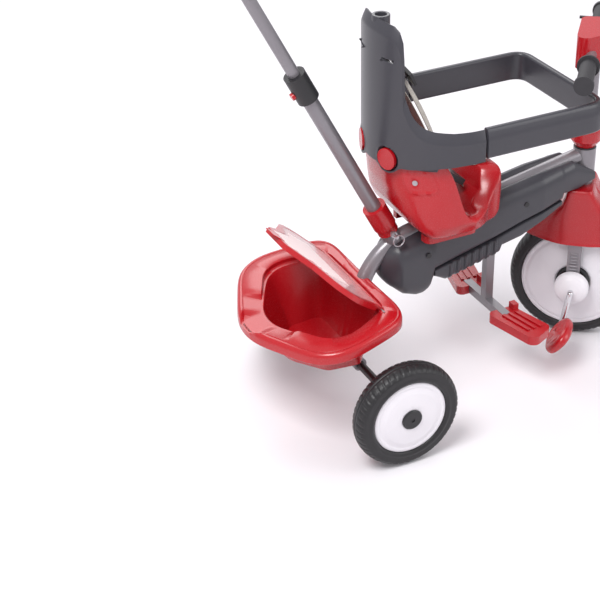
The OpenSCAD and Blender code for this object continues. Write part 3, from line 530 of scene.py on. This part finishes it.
def seatShell():
    # radius by direction and height: the smallest of three limits (back or front, side, plan), blended softly;
    # a section runs from the floor's middle, out and up the wall, over the rim and down to the inner floor
    a = np.linspace(0, 2 * np.pi, seat["columns"], endpoint=False)
    half = np.linspace(np.pi / 2, 3 * np.pi / 2, 40)
    front = softened(seat["nose"], 24, 8, closed=False)
    middle, wideR = seat["centre"][0], seat["planRadius"]
    plan = np.vstack([np.stack([middle + wideR * np.cos(half), wideR * np.sin(half)], -1), front])
    planR = radiusAt(plan, seat["centre"], a)

    def limit(z, rear, front, side, inset):
        c, s = np.cos(a), np.abs(np.sin(a))
        back = np.interp(z, *zip(*rear)) / np.maximum(-c, 1e-3)
        ahead = np.interp(z, *zip(*front)) / np.maximum(c, 1e-3)
        wide = np.interp(z, *zip(*side)) / np.maximum(s, 1e-3)
        stack = np.stack([np.where(c < 0, back, ahead), wide, planR - inset])
        return (stack ** -12.0).sum(0) ** (-1 / 12.0)

    def outerAt(z):
        return limit(z, seat["rear"], seat["front"], seat["side"], 0)

    def innerAt(z):
        return limit(z, seat["innerRear"], seat["innerFront"], seat["innerSide"], seat["wall"])

    rimAt = planR
    for _ in range(4):
        rim = np.interp(middle + rimAt * np.cos(a), *zip(*seat["rim"]))
        hump = np.interp(np.abs(rimAt * np.sin(a)), *zip(*seat["hump"]))
        rim = np.where(np.cos(a) > 0.3, np.minimum(rim, hump), rim)
        rimAt = outerAt(rim)
    kernel = np.hanning(17)
    kernel /= kernel.sum()
    rim = np.convolve(np.r_[rim[-8:], rim, rim[:8]], kernel, "valid")
    rings = []
    low = outerAt(np.full_like(a, seat["bottom"]))
    for k in (0.02, 0.35, 0.7, 0.93):
        rings.append((low * k, np.full_like(a, seat["bottom"])))
    high = rim - 5
    for t in np.linspace(0, 1, 46):
        z = seat["bottom"] + 2 + (high - seat["bottom"] - 2) * t
        rings.append((outerAt(z), z))
    outer = rings[-1][0]
    inner = np.minimum(innerAt(high), outer - 6)
    for t in np.linspace(0, np.pi, 12)[1:-1]:
        rings.append(((outer + inner) / 2 + (outer - inner) / 2 * np.cos(t), high + 5 * np.sin(t)))
    for t in np.linspace(1, 0, 34):
        z = seat["floor"] + (high - seat["floor"]) * t
        rings.append((np.minimum(innerAt(z), outer - 6), z))
    last = rings[-1][0]
    for k in (0.9, 0.6, 0.3, 0.02):
        rings.append((last * k, np.full_like(a, seat["floor"] - 1.0)))
    r = np.stack([q[0] for q in rings])
    z = np.stack([q[1] for q in rings])
    # raised border of each side panel, given as (arc length from the back, height), and the screw's dimple
    edge = softened(seat["panel"], 14, 8)
    fromBack = np.abs(a - np.pi)
    q = np.stack([np.repeat(fromBack[None] * seat["panelRadius"], len(rings), 0), z], -1)
    best = np.full(z.shape, 99.0)
    for p0, p1 in zip(edge, np.roll(edge, -1, 0)):
        d = p1 - p0
        t = np.clip(((q - p0) @ d) / (d @ d + 1e-9), 0, 1)
        best = np.minimum(best, np.linalg.norm(q - p0 - t[..., None] * d, axis=-1))
    outside = np.zeros(len(rings))[:, None]
    outside[4:50] = 1
    screwTurn, screwZ = seat["screw"]
    dimple = np.hypot(q[..., 0] - math.radians(screwTurn) * seat["panelRadius"], q[..., 1] - screwZ)
    r = r + outside * (seat["border"] * np.exp(-(best / 2.2) ** 4) - 2.6 * smooth((7.4 - dimple) / 1.6))
    x, y = middle + r * np.cos(a), r * np.sin(a)
    return closedGrid(np.stack([x, y, z], -1))


piece("seatBucket", seatShell(), "frame", red, ["seat_shell"])


# backrest: curved shell, arms swept down at both sides
back = {"centre": 196, "radius": 146, "wall": 4.6, "columns": 176, "rows": 96, "button": (47, 510),
        "lobe": (511, 27), "slot": (32, 58, 691.2, 696.8), "ledge": (138.2, 507.0),
        "top": [(50, 758), (60, 755), (66, 746), (69.5, 728), (71, 690), (72, 631), (77.6, 609), (82, 597),
                (89.5, 586), (98.5, 579), (112, 575), (142, 572.5), (205, 572.5)],
        "low": [(40, 495), (80, 501), (120, 509), (160, 513), (205, 515)]}


def backShell():
    # half circle with straight ends, height limits read from its place along x; the upper 20 mm slopes inwards
    run = np.linspace(-1, 1, back["columns"])
    arc = np.pi / 2 * back["radius"]
    s = run * (arc + 4)
    ang = np.clip(s / back["radius"], -np.pi / 2, np.pi / 2)
    beyond = np.clip(abs(s) - arc, 0, None)
    x0 = back["centre"] - back["radius"] * np.cos(ang) + beyond
    zTop = np.interp(x0, *zip(*back["top"]))
    zLow = np.interp(x0, *zip(*back["low"]))
    buttonY, buttonZ = back["button"]
    lobeZ, lobeR = back["lobe"]
    off = np.abs(np.abs(back["radius"] * np.sin(ang)) - buttonY)
    # a round lobe under each button; 99 keeps it from reaching anywhere else
    drop = np.sqrt(np.clip(lobeR ** 2 - off ** 2, 0, None)) * (off < lobeR)
    zLow = np.minimum(zLow, lobeZ - drop + 99 * (off >= lobeR))
    kernel = np.ones(5) / 5
    zLow = np.r_[zLow[:2], np.convolve(zLow, kernel, "valid"), zLow[-2:]]
    t = np.linspace(0, 1, back["rows"])[None, :]
    z = zLow[:, None] + (zTop - zLow)[:, None] * t
    # rows and columns moved on to the edges of the strap slots
    y0 = back["radius"] * np.sin(ang)
    slotIn, slotOut, slotLow, slotHigh = back["slot"]
    cols = []
    for sign in (-1, 1):
        i0, i1 = (int(np.argmin(abs(y0 - sign * v))) for v in (slotIn, slotOut))
        cols.append(sorted((i0, i1)))
        for i, v in ((i0, slotIn), (i1, slotOut)):
            ang[i] = math.asin(sign * v / back["radius"])
    j0 = int(np.argmin(abs(z[cols[0][0]] - slotLow)))
    near = np.zeros(back["columns"], bool)
    for lo, hi in cols:
        near[lo:hi + 1] = True
    z[near, j0], z[near, j0 + 1] = slotLow, slotHigh
    below = zTop[:, None] - z
    dip = 7.6 * (1 - np.clip(below / 20, 0, 1)) ** 1.2
    y1 = back["radius"] * np.sin(ang)
    button = np.hypot(np.abs(y1)[:, None] - buttonY, z - buttonZ)
    pocket = 8.2 * smooth((22.8 - button) / 2.2)
    lip = 0.9 * np.exp(-((button - 24.3) / 1.6) ** 2)
    r = back["radius"] - 0.4 - dip - pocket + lip
    ca, sa = np.cos(ang)[:, None], np.sin(ang)[:, None]
    x = back["centre"] - r * ca + beyond[:, None]
    y = r * sa
    verts = np.stack([x, y, z], -1).reshape(-1, 3)
    i, j = np.meshgrid(np.arange(back["columns"] - 1), np.arange(back["rows"] - 1), indexing="ij")
    hole = np.zeros_like(i, bool)
    for lo, hi in cols:
        hole |= (i >= lo) & (i < hi) & (j == j0)
    faces = quads(back["columns"], back["rows"], False, False)[~hole.ravel()]
    return verts, [faces]


# an open sheet has no inside, so its middle face is turned to look backwards and the rest with it
backVerts, (backFaces,) = backShell()
mid = backVerts[backFaces[len(backFaces) // 2]]
if np.cross(mid[1] - mid[0], mid[2] - mid[1])[0] > 0:
    backFaces = backFaces[:, ::-1]
piece("backrestShell", (backVerts, [backFaces]), "frame", grey, ["backrest"],
      wall=back["wall"], bevel=1.2, keep=True)

# accessory socket behind the back, and the ledge it stands on, left open beside the buttons
socketTube = turned(softened([(10.2, 760), (16, 760), (16, 682), (10.2, 682)], 1.2), (70, 0, 0), (0, 0, 1), 48)
piece("accessorySocket", socketTube, "frame", grey)
ledges = []
for start, end in ((-1.02, -0.5), (-0.16, 0.16), (0.5, 1.02)):
    turn = np.pi + np.linspace(start, end, 24)
    ledgeR, ledgeZ = back["ledge"]
    middle = np.stack([back["centre"] + ledgeR * np.cos(turn), ledgeR * np.sin(turn), np.full(24, ledgeZ)], -1)
    ledges.append(carried(middle, ringPoints(16, 3.2, 7, 4), (0, 0, 1), 3))
piece("seatLedge", joined(ledges), "frame", grey)


# safety bar: one deep moulding round the child, ridge 20 mm under its top
bar = {"rear": 200.6, "front": 453.4, "side": 136.4, "height": 545, "corner": 34, "tongueSide": 134,
       "section": [(9.2, -24), (9.2, 7), (8.0, 13), (4.6, 23), (1.5, 27.6), (-6.5, 27.6), (-9.0, 24),
                   (-9.2, -24), (-6, -27.6), (6, -27.6)]}


def barLoop():
    # one closed section carried round three sides of a rounded rectangle
    legs = [(bar["rear"], -bar["side"], bar["height"]), (bar["front"], -bar["side"], bar["height"]),
            (bar["front"], bar["side"], bar["height"]), (bar["rear"], bar["side"], bar["height"])]
    path = spaced(roundPath(legs, bar["corner"], 14), 5)
    return carried(path, softened(bar["section"], 4, 5), (0, 0, 1), 5)


tongues = []
for sign in (-1, 1):
    run = np.array([(x, bar["tongueSide"] * sign, bar["height"]) for x in (177.5, 201.5, 204)], float)
    tongues.append(carried(spaced(run, 3), ringPoints(20, 4.8, 20.5, 6), (0, 0, 1), 2))
piece("safetyBarLoop", joined([barLoop()] + tongues), "safety_bar", grey, ["safety_bar"])
print("seat and back")


# body covers: two mouldings round the frame tube with an open seam between them
cover = {"bulb": (112, 268, 46, 1.12), "shoulder": [(112, 319.5), (130, 325)],
         "heel": [(90, 222.7), (107, 207), (133, 197), (146, 197), (154, 201), (159, 207), (163.2, 222),
                  (165.4, 254.8)],
         "width": [(48, 30), (56, 40), (66, 46), (400, 46), (460, 38), (528, 27)],
         "seam": [(165, 254), (291, 286), (358, 307), (428, 325), (530, 350)],
         "top": [(160, 333), (165, 338), (200, 350), (314, 378), (400, 393), (475, 402), (528, 369)],
         "under": [(165, 236.5), (192, 219.5), (307, 247), (311, 262), (355, 270), (420, 302), (455, 322)]}


def coverBody(stations, zLow, zHigh, width, lowPower, highPower, split, ripple=0.0):
    # sections across the tube at each station: rounded above, squarer below, carried from back to front
    n = 112
    t = np.linspace(0, 2 * np.pi, n, endpoint=False)
    c, s = np.cos(t)[None], np.sin(t)[None]
    power = np.where(s > 0, highPower, np.where(stations[:, None] < 165, 3.0, lowPower))
    mid = (zLow + (zHigh - zLow) * split)[:, None]
    tall = np.where(s > 0, zHigh[:, None] - mid, mid - zLow[:, None])
    y = width[:, None] * np.sign(c) * np.abs(c) ** (2 / power)
    z = mid + tall * np.sign(s) * np.abs(s) ** (2 / power)
    if ripple:
        grip = smooth((stations - 193) / 5) * smooth((305 - stations) / 5)
        wave = np.clip(np.cos((stations - 199.5) * 2 * np.pi / 16) * 1.6, -0.2, 1)
        flat = smooth((np.abs(c) - 0.35) / 0.2)
        y += np.sign(c) * (ripple * grip * wave)[:, None] * flat
    # trough along the top, where the tube shows
    ahead = smooth((stations - 235) / 60)[:, None] * (s > 0)
    z = z - ahead * 16 * np.exp(-(y / 15.5) ** 4) * smooth(s / 0.8)
    if ripple:
        # channel up the underside, which the footrest's stem folds into
        room = 0.8 * (zHigh - zLow)[:, None] * smooth((stations - 168) / 6)[:, None]
        z = z + room * np.exp(-(y / 15) ** 8) * (s < 0)
    x = np.repeat(stations[:, None], n, 1)
    return closedGrid(np.stack([x, y, z], -1))


# the rear end is a quarter of a sphere stretched upwards: middle x and z, radius, stretch
bulbX, bulbZ, bulbR, stretch = cover["bulb"]
bulbA = np.linspace(0, np.pi / 2, 18)
stations = np.r_[bulbX - bulbR * np.cos(bulbA), np.linspace(115, 163, 13), np.linspace(165.5, 446, 90),
                 np.linspace(449, 527, 30)]
stations[0] += 0.4
bulge = np.sqrt(np.clip(bulbR ** 2 - (stations - bulbX) ** 2, 4, None))
high = np.where(stations < bulbX, bulbZ + stretch * bulge,
                np.interp(stations, *zip(*(cover["shoulder"] + cover["top"]))))
lowLine = cover["heel"] + [(x, z + 0.8) for x, z in cover["seam"][1:]]
low = np.where(stations < 90, bulbZ - stretch * bulge, np.interp(stations, *zip(*lowLine)))
# kept above the steering's sweep at the front
low = np.where(stations > 447, np.maximum(low, 340.5), low)
wide = np.interp(stations, *zip(*cover["width"]))
closing = bulbR * np.sqrt(np.clip((stations - 64.5) / 30, 0.03, 1))
wide = closing * (stations < 100) + wide * (stations >= 100)
upper = coverBody(stations, low, high, np.minimum(wide, bulbR), 9.0, 3.0, 0.42)
piece("coverUpper", upper, "frame", grey, ["body_cover_upper"])
under = np.r_[np.linspace(165.6, 192, 10), np.linspace(193, 307, 150), np.linspace(308, 312, 6),
              np.linspace(314, 446, 50)]
lowZ = np.interp(under, *zip(*cover["under"]))
highZ = np.interp(under, *zip(*cover["seam"])) - 1.2
lowerWide = np.interp(under, *zip(*cover["width"])) - 0.6
lower = coverBody(under, lowZ, np.maximum(highZ, lowZ + 2), lowerWide, 3.2, 9.0, 0.62, ripple=2.6)
piece("coverLower", lower, "frame", grey, ["body_cover_lower"])


# wheels: blow-moulded tyres with cut tread, domed discs; a disc is an outline of (radius, along the axle)
frontWheel = {"outer": 128, "bead": 104, "half": 23, "bars": 60, "crown": 119, "cut": 1.3,
              "disc": [(6.2, 26), (33.6, 26.4), (36, 30.6), (40, 31), (60, 28.4), (80, 25.6), (90, 24.2),
                       (95, 21.2), (98, 21.6), (103.6, 19.6)]}
rearWheel = {"outer": 102, "bead": 72, "half": 23, "bars": 48, "crown": 93, "cut": 1.2, "side": 233,
             "disc": [(11, -21), (20, -21), (22, -12), (60, -12), (66, -19), (71.8, -19), (71.8, 18.6),
                      (66, 20.4), (62, 19.4), (52, 22.4), (30, 24.3), (20, 24.3), (11, 17)]}


def tread(bars, crown, depth, side):
    # slanted cuts near both shoulders of the tread and a round groove down the middle
    def cut(t, r, along):
        top = np.clip((r - crown) / 3, 0, 1)
        slant = np.cos(bars * t + np.abs(along) * 0.12 * np.sign(side))
        shoulder = smooth((np.abs(along) - 4) / 3)
        return -depth * top * (smooth((slant - 0.35) / 0.35) * shoulder + np.exp(-(along / 1.6) ** 2))
    return cut


def tyreProfile(wheel):
    # from the bead, up the stepped side wall, over a crowned tread
    inner, outer, half = wheel["bead"], wheel["outer"], wheel["half"]
    one = [(inner + 0.1, half - 3.5), (inner + 4, half - 0.6), (inner + 8, half), (inner + 9.5, half - 1.4),
           (outer - 9, half - 1.6), (outer - 3.6, half * 0.72), (outer - 1.2, half * 0.45),
           (outer, half * 0.16)]
    ring = one + [(r, -w) for r, w in one[::-1]]
    dense = []
    for p0, p1 in zip(ring, ring[1:] + ring[:1]):
        steps = max(1, int(math.dist(p0, p1) / 1.6))
        dense += [tuple(u + (v - u) * k / steps for u, v in zip(p0, p1)) for k in range(steps)]
    d = np.array(dense)
    return (np.roll(d, 1, 0) + 2 * d + np.roll(d, -1, 0)) / 4


def tyreShell(wheel, at, axis, columns, side):
    cut = tread(wheel["bars"], wheel["crown"], wheel["cut"], side)
    return turned(tyreProfile(wheel), at, axis, columns, cut)


frontAt = steered((0, 0, frontWheel["outer"]))
frontAxis = (math.sin(-steerAngle), math.cos(steerAngle), 0)
piece("frontTyre", tyreShell(frontWheel, frontAt, frontAxis, 540, 1), "front_wheel", tyre,
      ["front_tyre"])
disc = frontWheel["disc"] + [(r, -w) for r, w in frontWheel["disc"][::-1]]
piece("frontDisc", turned(softened(disc, 1.8, 5), frontAt, frontAxis, 160), "front_wheel", white,
      ["front_wheel_disc"])
for sign, side in ((1, "left"), (-1, "right")):
    at, axis = (0, rearWheel["side"] * sign, rearWheel["outer"]), (0, sign, 0)
    piece("rearTyre" + side, tyreShell(rearWheel, at, axis, 480, sign), "rear_wheel_" + side, tyre,
          ["rear_tyre_" + side])
    piece("rearDisc" + side, turned(softened(rearWheel["disc"], 2, 5), at, axis, 144), "rear_wheel_" + side,
          white, ["rear_wheel_disc_" + side])
print("covers and wheels")


# front fender: a deep tent over the wheel, open below, with a raised middle rib
fender = {"top": 338, "edge": 222.5,
          "plan": [(119, -20), (119, 20), (70, 46), (26, 61), (-26, 61), (-60, 44), (-117, 13), (-117, -13),
                   (-60, -44), (-26, -61), (26, -61), (70, -46)],
          "heights": [222.5, 246, 276, 302, 322, 334, 338], "ahead": [118.5, 106, 80, 50, 34, 28, 25],
          "behind": [116.5, 95, 63, 37, 29, 26, 23], "wide": [61.5, 60, 58.5, 57, 56, 54.5, 51]}


def fenderShell():
    # radius by direction and height: the smallest of the plan outline, the fore and aft limit and the side
    # limit, blended softly; rings run from the middle of the top down to the lower edge
    a = np.linspace(0, 2 * np.pi, 240, endpoint=False)
    planR = radiusAt(softened(fender["plan"], 12, 5), (0, 0), a)
    crown = fender["top"] - 4 * (1 - np.cos(np.linspace(0, 1.3, 6)))
    levels = np.r_[crown, np.linspace(fender["top"] - 4, fender["edge"], 44)]
    rings = [(k, float(fender["top"])) for k in (0.02, 0.3, 0.6, 0.85)] + [(1.0, z) for z in levels]
    rows, tall = [], []
    for k, z in rings:
        c, n = np.cos(a), np.abs(np.sin(a))
        fore = np.interp(z, fender["heights"], fender["ahead"]) / np.maximum(c, 1e-3)
        aft = np.interp(z, fender["heights"], fender["behind"]) / np.maximum(-c, 1e-3)
        side = np.interp(z, fender["heights"], fender["wide"]) / np.maximum(n, 1e-3)
        stack = np.stack([np.where(c > 0, fore, aft), side, planR])
        r = (stack ** -8.0).sum(0) ** (-1 / 8.0) * k
        # the flare at the lower edge and the rib along the middle
        r = r + 1.5 * smooth((228 - z) / 5) - 1.5
        rib = smooth((8 - np.abs(r * np.sin(a))) / 3) * smooth((r - 26) / 6) * 1.5
        rows.append(r + rib)
        tall.append(np.full_like(a, z))
    r, z = np.stack(rows), np.stack(tall)
    pts = steered(np.stack([r * np.cos(a), r * np.sin(a), z], -1))
    return closedGrid(pts, capEnd=False)


piece("fenderTent", fenderShell(), "steering", red, ["front_fender"], wall=2.6, bevel=0.8)
# ridges low down on both fork legs
for sign, side in ((1, "left"), (-1, "right")):
    ridges = []
    for k in range(6):
        run = np.stack([np.linspace(-8.5, 8.5, 9), np.full(9, 50.3 * sign), np.full(9, 166.0 + 7 * k)], -1)
        ridges.append(carried(steered(run), ringPoints(12, 1.9, 1.9), (0, 0, 1), 2.5))
    piece("legRidges" + side, joined(ridges), "steering", tube)


# pedals: rounded pads with a raised middle, on the crank's ends
pedal = {"crankTurn": 10, "crank": 60, "tilt": -50, "side": 145, "half": (32.5, 45.5, 11.8)}


def pedalPad(sign):
    # a swollen pad: superellipse in plan, its faces domed, with five shallow grip waves across them
    crankTurn, crank = math.radians(pedal["crankTurn"]), pedal["crank"]
    long, broad, thick = pedal["half"]
    u = np.linspace(-np.pi / 2, np.pi / 2, 41)[:, None]
    v = np.linspace(0, 2 * np.pi, 96, endpoint=False)[None]

    def power(t, k):
        return np.sign(t) * np.abs(t) ** k

    x = long * power(np.cos(u), 0.5) * power(np.cos(v), 0.8)
    y = broad * power(np.cos(u), 0.5) * power(np.sin(v), 0.8)
    z = thick * power(np.sin(u), 0.72) + 0 * v
    inner = smooth((0.82 - np.hypot(x / long, y / broad)) / 0.12)
    z = z - np.sign(z) * inner * (1.6 - 0.9 * np.cos(y * 2 * np.pi / 13))
    tilt = math.radians(pedal["tilt"])
    px = x * math.cos(tilt) + z * math.sin(tilt) + sign * crank * math.sin(crankTurn)
    pz = -x * math.sin(tilt) + z * math.cos(tilt) + sign * crank * math.cos(crankTurn) + frontWheel["outer"]
    verts, faces = closedGrid(np.stack([px, y + sign * pedal["side"], pz], -1))
    return steered(verts), faces


for sign, side in ((1, "left"), (-1, "right")):
    piece("pedalPad" + side, pedalPad(sign), "pedal_" + side, red, ["pedal_" + side])


# storage bin: tapered bowl under a wide rim with a rolled edge
# each outline is drawn round circles (x, y, r); the rim's plane rises 9 degrees forwards through pivot (x, z)
bowl = {"middle": (-50, 0), "columns": 400, "pivot": (38, 256), "slope": 9,
        "rim": [(15, -146, 27), (15, 146, 27), (-84, 114, 78), (-57, 0, 150), (-84, -114, 78)],
        "mouth": [(-6, -102, 15), (-6, 102, 15), (-66, 86, 50), (-58, 0, 100), (-66, -86, 50)],
        "floor": [(-22, -76, 12), (-22, 76, 12), (-70, 66, 16), (-76, 0, 50), (-70, -66, 16)],
        "lid": [(4, -104, 14), (4, 104, 14), (-66, 90, 54), (-98, 0, 66), (-66, -90, 54)]}


def binShell():
    # every direction from the bowl's middle carries one section: floor, bowl, lip, rolled rim, crease, recess
    mid = bowl["middle"]
    a = np.linspace(0, 2 * np.pi, bowl["columns"], endpoint=False)
    rim, mouthR, floorR, lidR = (radiusAt(around(bowl[k], 0), mid, a) for k in ("rim", "mouth", "floor", "lid"))
    kernel = np.hanning(19) / np.hanning(19).sum()

    def ease(r):
        return np.convolve(np.r_[r[-9:], r, r[:9]], kernel, "valid")

    for _ in range(3):
        rim, mouthR = ease(rim), ease(mouthR)
    rim, mouthR, floorR, lidR = ease(rim), ease(mouthR), ease(floorR), ease(lidR) + 1.8
    lidR = np.minimum(lidR, rim - 14)
    mouthR = np.minimum(mouthR, lidR - 4)

    def plane(r, drop):
        x = mid[0] + r * np.cos(a)
        return bowl["pivot"][1] + (x - bowl["pivot"][0]) * math.tan(math.radians(bowl["slope"])) + drop

    rows = []
    for k in (0.02, 0.5, 0.9):
        rows.append((floorR * k, np.full_like(a, 124.2)))
    for t in np.linspace(0, 1, 24):
        r = (floorR + 3) * (1 - t) + (mouthR + 3) * t
        rows.append((r, 127 * (1 - t) + plane(mouthR, -13) * t))
    for r, d in ((lidR + 3, -12), (rim - 7, -5), (rim - 3.2, -9), (rim - 3, -20), (rim - 1.5, -22),
                 (rim - 0.2, -20.5), (rim - 0.4, -9), (rim - 1.6, -4), (rim - 4.4, -1.2), (rim - 8, -0.2), (rim - 10.4, -0.9),
                 (rim - 11.4, -1.5), (rim - 12.6, -0.7), (lidR + 2, -0.2), (lidR + 0.4, -1.4), (lidR, -4),
                 (lidR - 0.4, -8), (lidR - 1.6, -9), (mouthR + 1.6, -9.2), (mouthR, -10.8)):
        rows.append((np.maximum(r, mouthR), plane(np.maximum(r, mouthR), d)))
    for t in np.linspace(0, 1, 24)[1:]:
        r = mouthR * (1 - t) + floorR * t
        rows.append((r, plane(mouthR, -12) * (1 - t) + 130 * t))
    for k in (0.9, 0.5, 0.02):
        rows.append((floorR * k, np.full_like(a, 127.4)))
    r = np.stack([q[0] for q in rows])
    z = np.stack([q[1] for q in rows])
    # notch in the rear of the rim that the lid's tail closes into
    x, y = mid[0] + r * np.cos(a), r * np.sin(a)
    tail = np.interp(x, [-206, -188, -174, -120], [16, 32, 47, 76])
    notch = smooth((-106 - x) / 26) * smooth((tail + 16 - np.abs(y)) / 18)
    z = z - notch * np.maximum(0, z - plane(r, -9.6))
    return closedGrid(np.stack([x, y, z], -1))


piece("binBowl", binShell(), "frame", red, ["storage_bin"])
for sign, side in ((1, "left"), (-1, "right")):
    ear = carried(np.array([(12.3, 119 * sign, 245), (12.3, 124 * sign, 245), (12.3, 129 * sign, 245)], float),
                  ringPoints(24, 6.8, 6.8, 5), (0, 0, 1))
    piece("hingeEar" + side, ear, "frame", red)
print("fender and bin")


# harness: shoulder webbing with adjusters, crotch strap, buckle and pommel pad
harness = {"width": 24, "thick": 2, "slot": (68.6, 45, 690.5), "buckle": (201, 15, 435.5),
           "crotch": ((226, 0, 418), (240.5, 0, 396.5)), "adjuster": ((92, 43.5, 664), (104, 41.2, 641))}


def strapBand(path, width, thick, acrossDir, turnedDir=None):
    # flat band of a soft-cornered oblong section along a path, its face turning from acrossDir towards
    # turnedDir in the middle and back again
    p = spaced(np.asarray(path, float), 4)
    t = np.gradient(p, axis=0)
    t /= np.linalg.norm(t, axis=1)[:, None]
    wish = np.repeat(np.asarray(acrossDir, float)[None], len(p), 0)
    if turnedDir is not None:
        w = np.sin(np.pi * np.linspace(0, 1, len(p)))[:, None] ** 0.5
        wish = wish * (1 - w) + np.asarray(turnedDir, float) * w
    across = wish - (t * wish).sum(1)[:, None] * t
    across /= np.linalg.norm(across, axis=1)[:, None]
    up = np.cross(t, across)
    w, h = width / 2, thick / 2
    ring = softened([(-w, -h), (w, -h), (w, h), (-w, h)], 0.8, 4)
    pts = p[:, None] + ring[None, :, :1] * across[:, None] + ring[None, :, 1:] * up[:, None]
    return closedGrid(pts)


def bowed(a, b, sag, n=24):
    # a straight run with a slow bow of the given size in the middle
    t = np.linspace(0, 1, n)[:, None]
    a, b, sag = (np.asarray(q, float) for q in (a, b, sag))
    return (1 - t) * a + t * b + np.sin(np.pi * t) * sag


bands = []
for sign in (-1, 1):
    (x0, y0, z0), (x1, y1, z1) = harness["slot"], harness["buckle"]
    shoulder = bowed((x0, y0 * sign, z0), (x1, y1 * sign, z1), (5, 3 * sign, 6))
    bands.append(strapBand(shoulder, harness["width"], harness["thick"], (0, 1, 0),
                           (-0.5 * sign, 0.86, -0.25 * sign)))
bands.append(strapBand(bowed(*harness["crotch"], (1.5, 0, 1)), harness["width"], harness["thick"], (0, 1, 0)))
# the weave's map: across is y, along is the distance from the origin in x and z
straps = piece("harnessWebbing", joined(bands), "frame", strapWeave, ["harness_straps"])
uv = straps.data.uv_layers.new(name="weave")
loopVerts = np.empty(len(straps.data.loops), np.int32)
straps.data.loops.foreach_get("vertex_index", loopVerts)
co = np.empty(len(straps.data.vertices) * 3)
straps.data.vertices.foreach_get("co", co)
co = co.reshape(-1, 3)
flat = np.stack([co[:, 1], np.hypot(co[:, 0], co[:, 2])], -1)
uv.data.foreach_set("uv", flat[loopVerts].ravel())
for sign, side in ((1, "left"), (-1, "right")):
    ladder = [(x, y * sign, z) for x, y, z in harness["adjuster"]]
    verts, faces = strapBand(ladder, 32, 6, (0.1, 1, 0))
    piece("strapAdjuster" + side, (verts + [4.5, 1.5 * sign, 4.5], faces), "frame", black)


pommel = {"rear": (259, 0, 435.0), "front": (298, 0, 449), "crown": 9.0, "half": (25, 3.6), "rings": (48, 40)}


def pommelCushion():
    # pillow over the pommel's inner top: a flat slab swollen in its middle
    n, m = pommel["rings"]
    u = np.linspace(0, 1, n)[:, None]
    v = np.linspace(0, 2 * np.pi, m, endpoint=False)[None]
    start, end = np.array(pommel["rear"]), np.array(pommel["front"])
    path = start + (end - start) * u + np.array([0, 0, pommel["crown"]]) * np.sin(np.pi * u)
    swell = np.clip(np.sin(np.pi * np.clip(u, 0.01, 0.99)), 0.05, 1) ** 0.35
    wide, tall = pommel["half"][0] * swell, pommel["half"][1] * swell
    c, s = np.cos(v), np.sin(v)
    y = wide * np.sign(c) * np.abs(c) ** 0.55
    z = tall * np.sign(s) * np.abs(s) ** 0.8
    return closedGrid(np.stack([path[:, 0][:, None] + 0 * y, y, path[:, 2][:, None] + z], -1))


cushion = piece("pommelCushion", pommelCushion(), "frame", padKnit, ["pommel_pad"])
print("harness and pommel")

# edges of the frame's own nodes softened by half a millimetre or so
replaced = {"seat_shell", "backrest", "safety_bar", "body_cover_upper", "body_cover_lower", "front_tyre",
            "front_wheel_disc", "rear_tyre_left", "rear_tyre_right", "rear_wheel_disc_left", "rear_wheel_disc_right",
            "front_fender", "storage_bin", "harness_straps", "pommel_pad", "pedal_left", "pedal_right"}
edgeSize = {"footrest_platform_left": 1.6, "footrest_platform_right": 1.6, "seat_base": 2.0,
            "handle_collar": 1.2, "handle_clamp": 1.6, "harness_buckle": 1.6, "handlebar_shroud": 2.2,
            "bell_base": 1.4, "bell_lever": 1.0, "fork": 1.4, "lid_frame": 0.8, "release_button_left": 1.4,
            "release_button_right": 1.4, "handlebar_cup": 0.8, "grip_left": 1.0, "grip_right": 1.0}
for name, node in frame["nodes"].items():
    if name in replaced:
        continue
    soften = node.modifiers.new("edges", "BEVEL")
    soften.width = edgeSize.get(name, 0.4) * 0.001
    soften.segments, soften.limit_method, soften.angle_limit = 3, "ANGLE", math.radians(34)
print("edges softened")
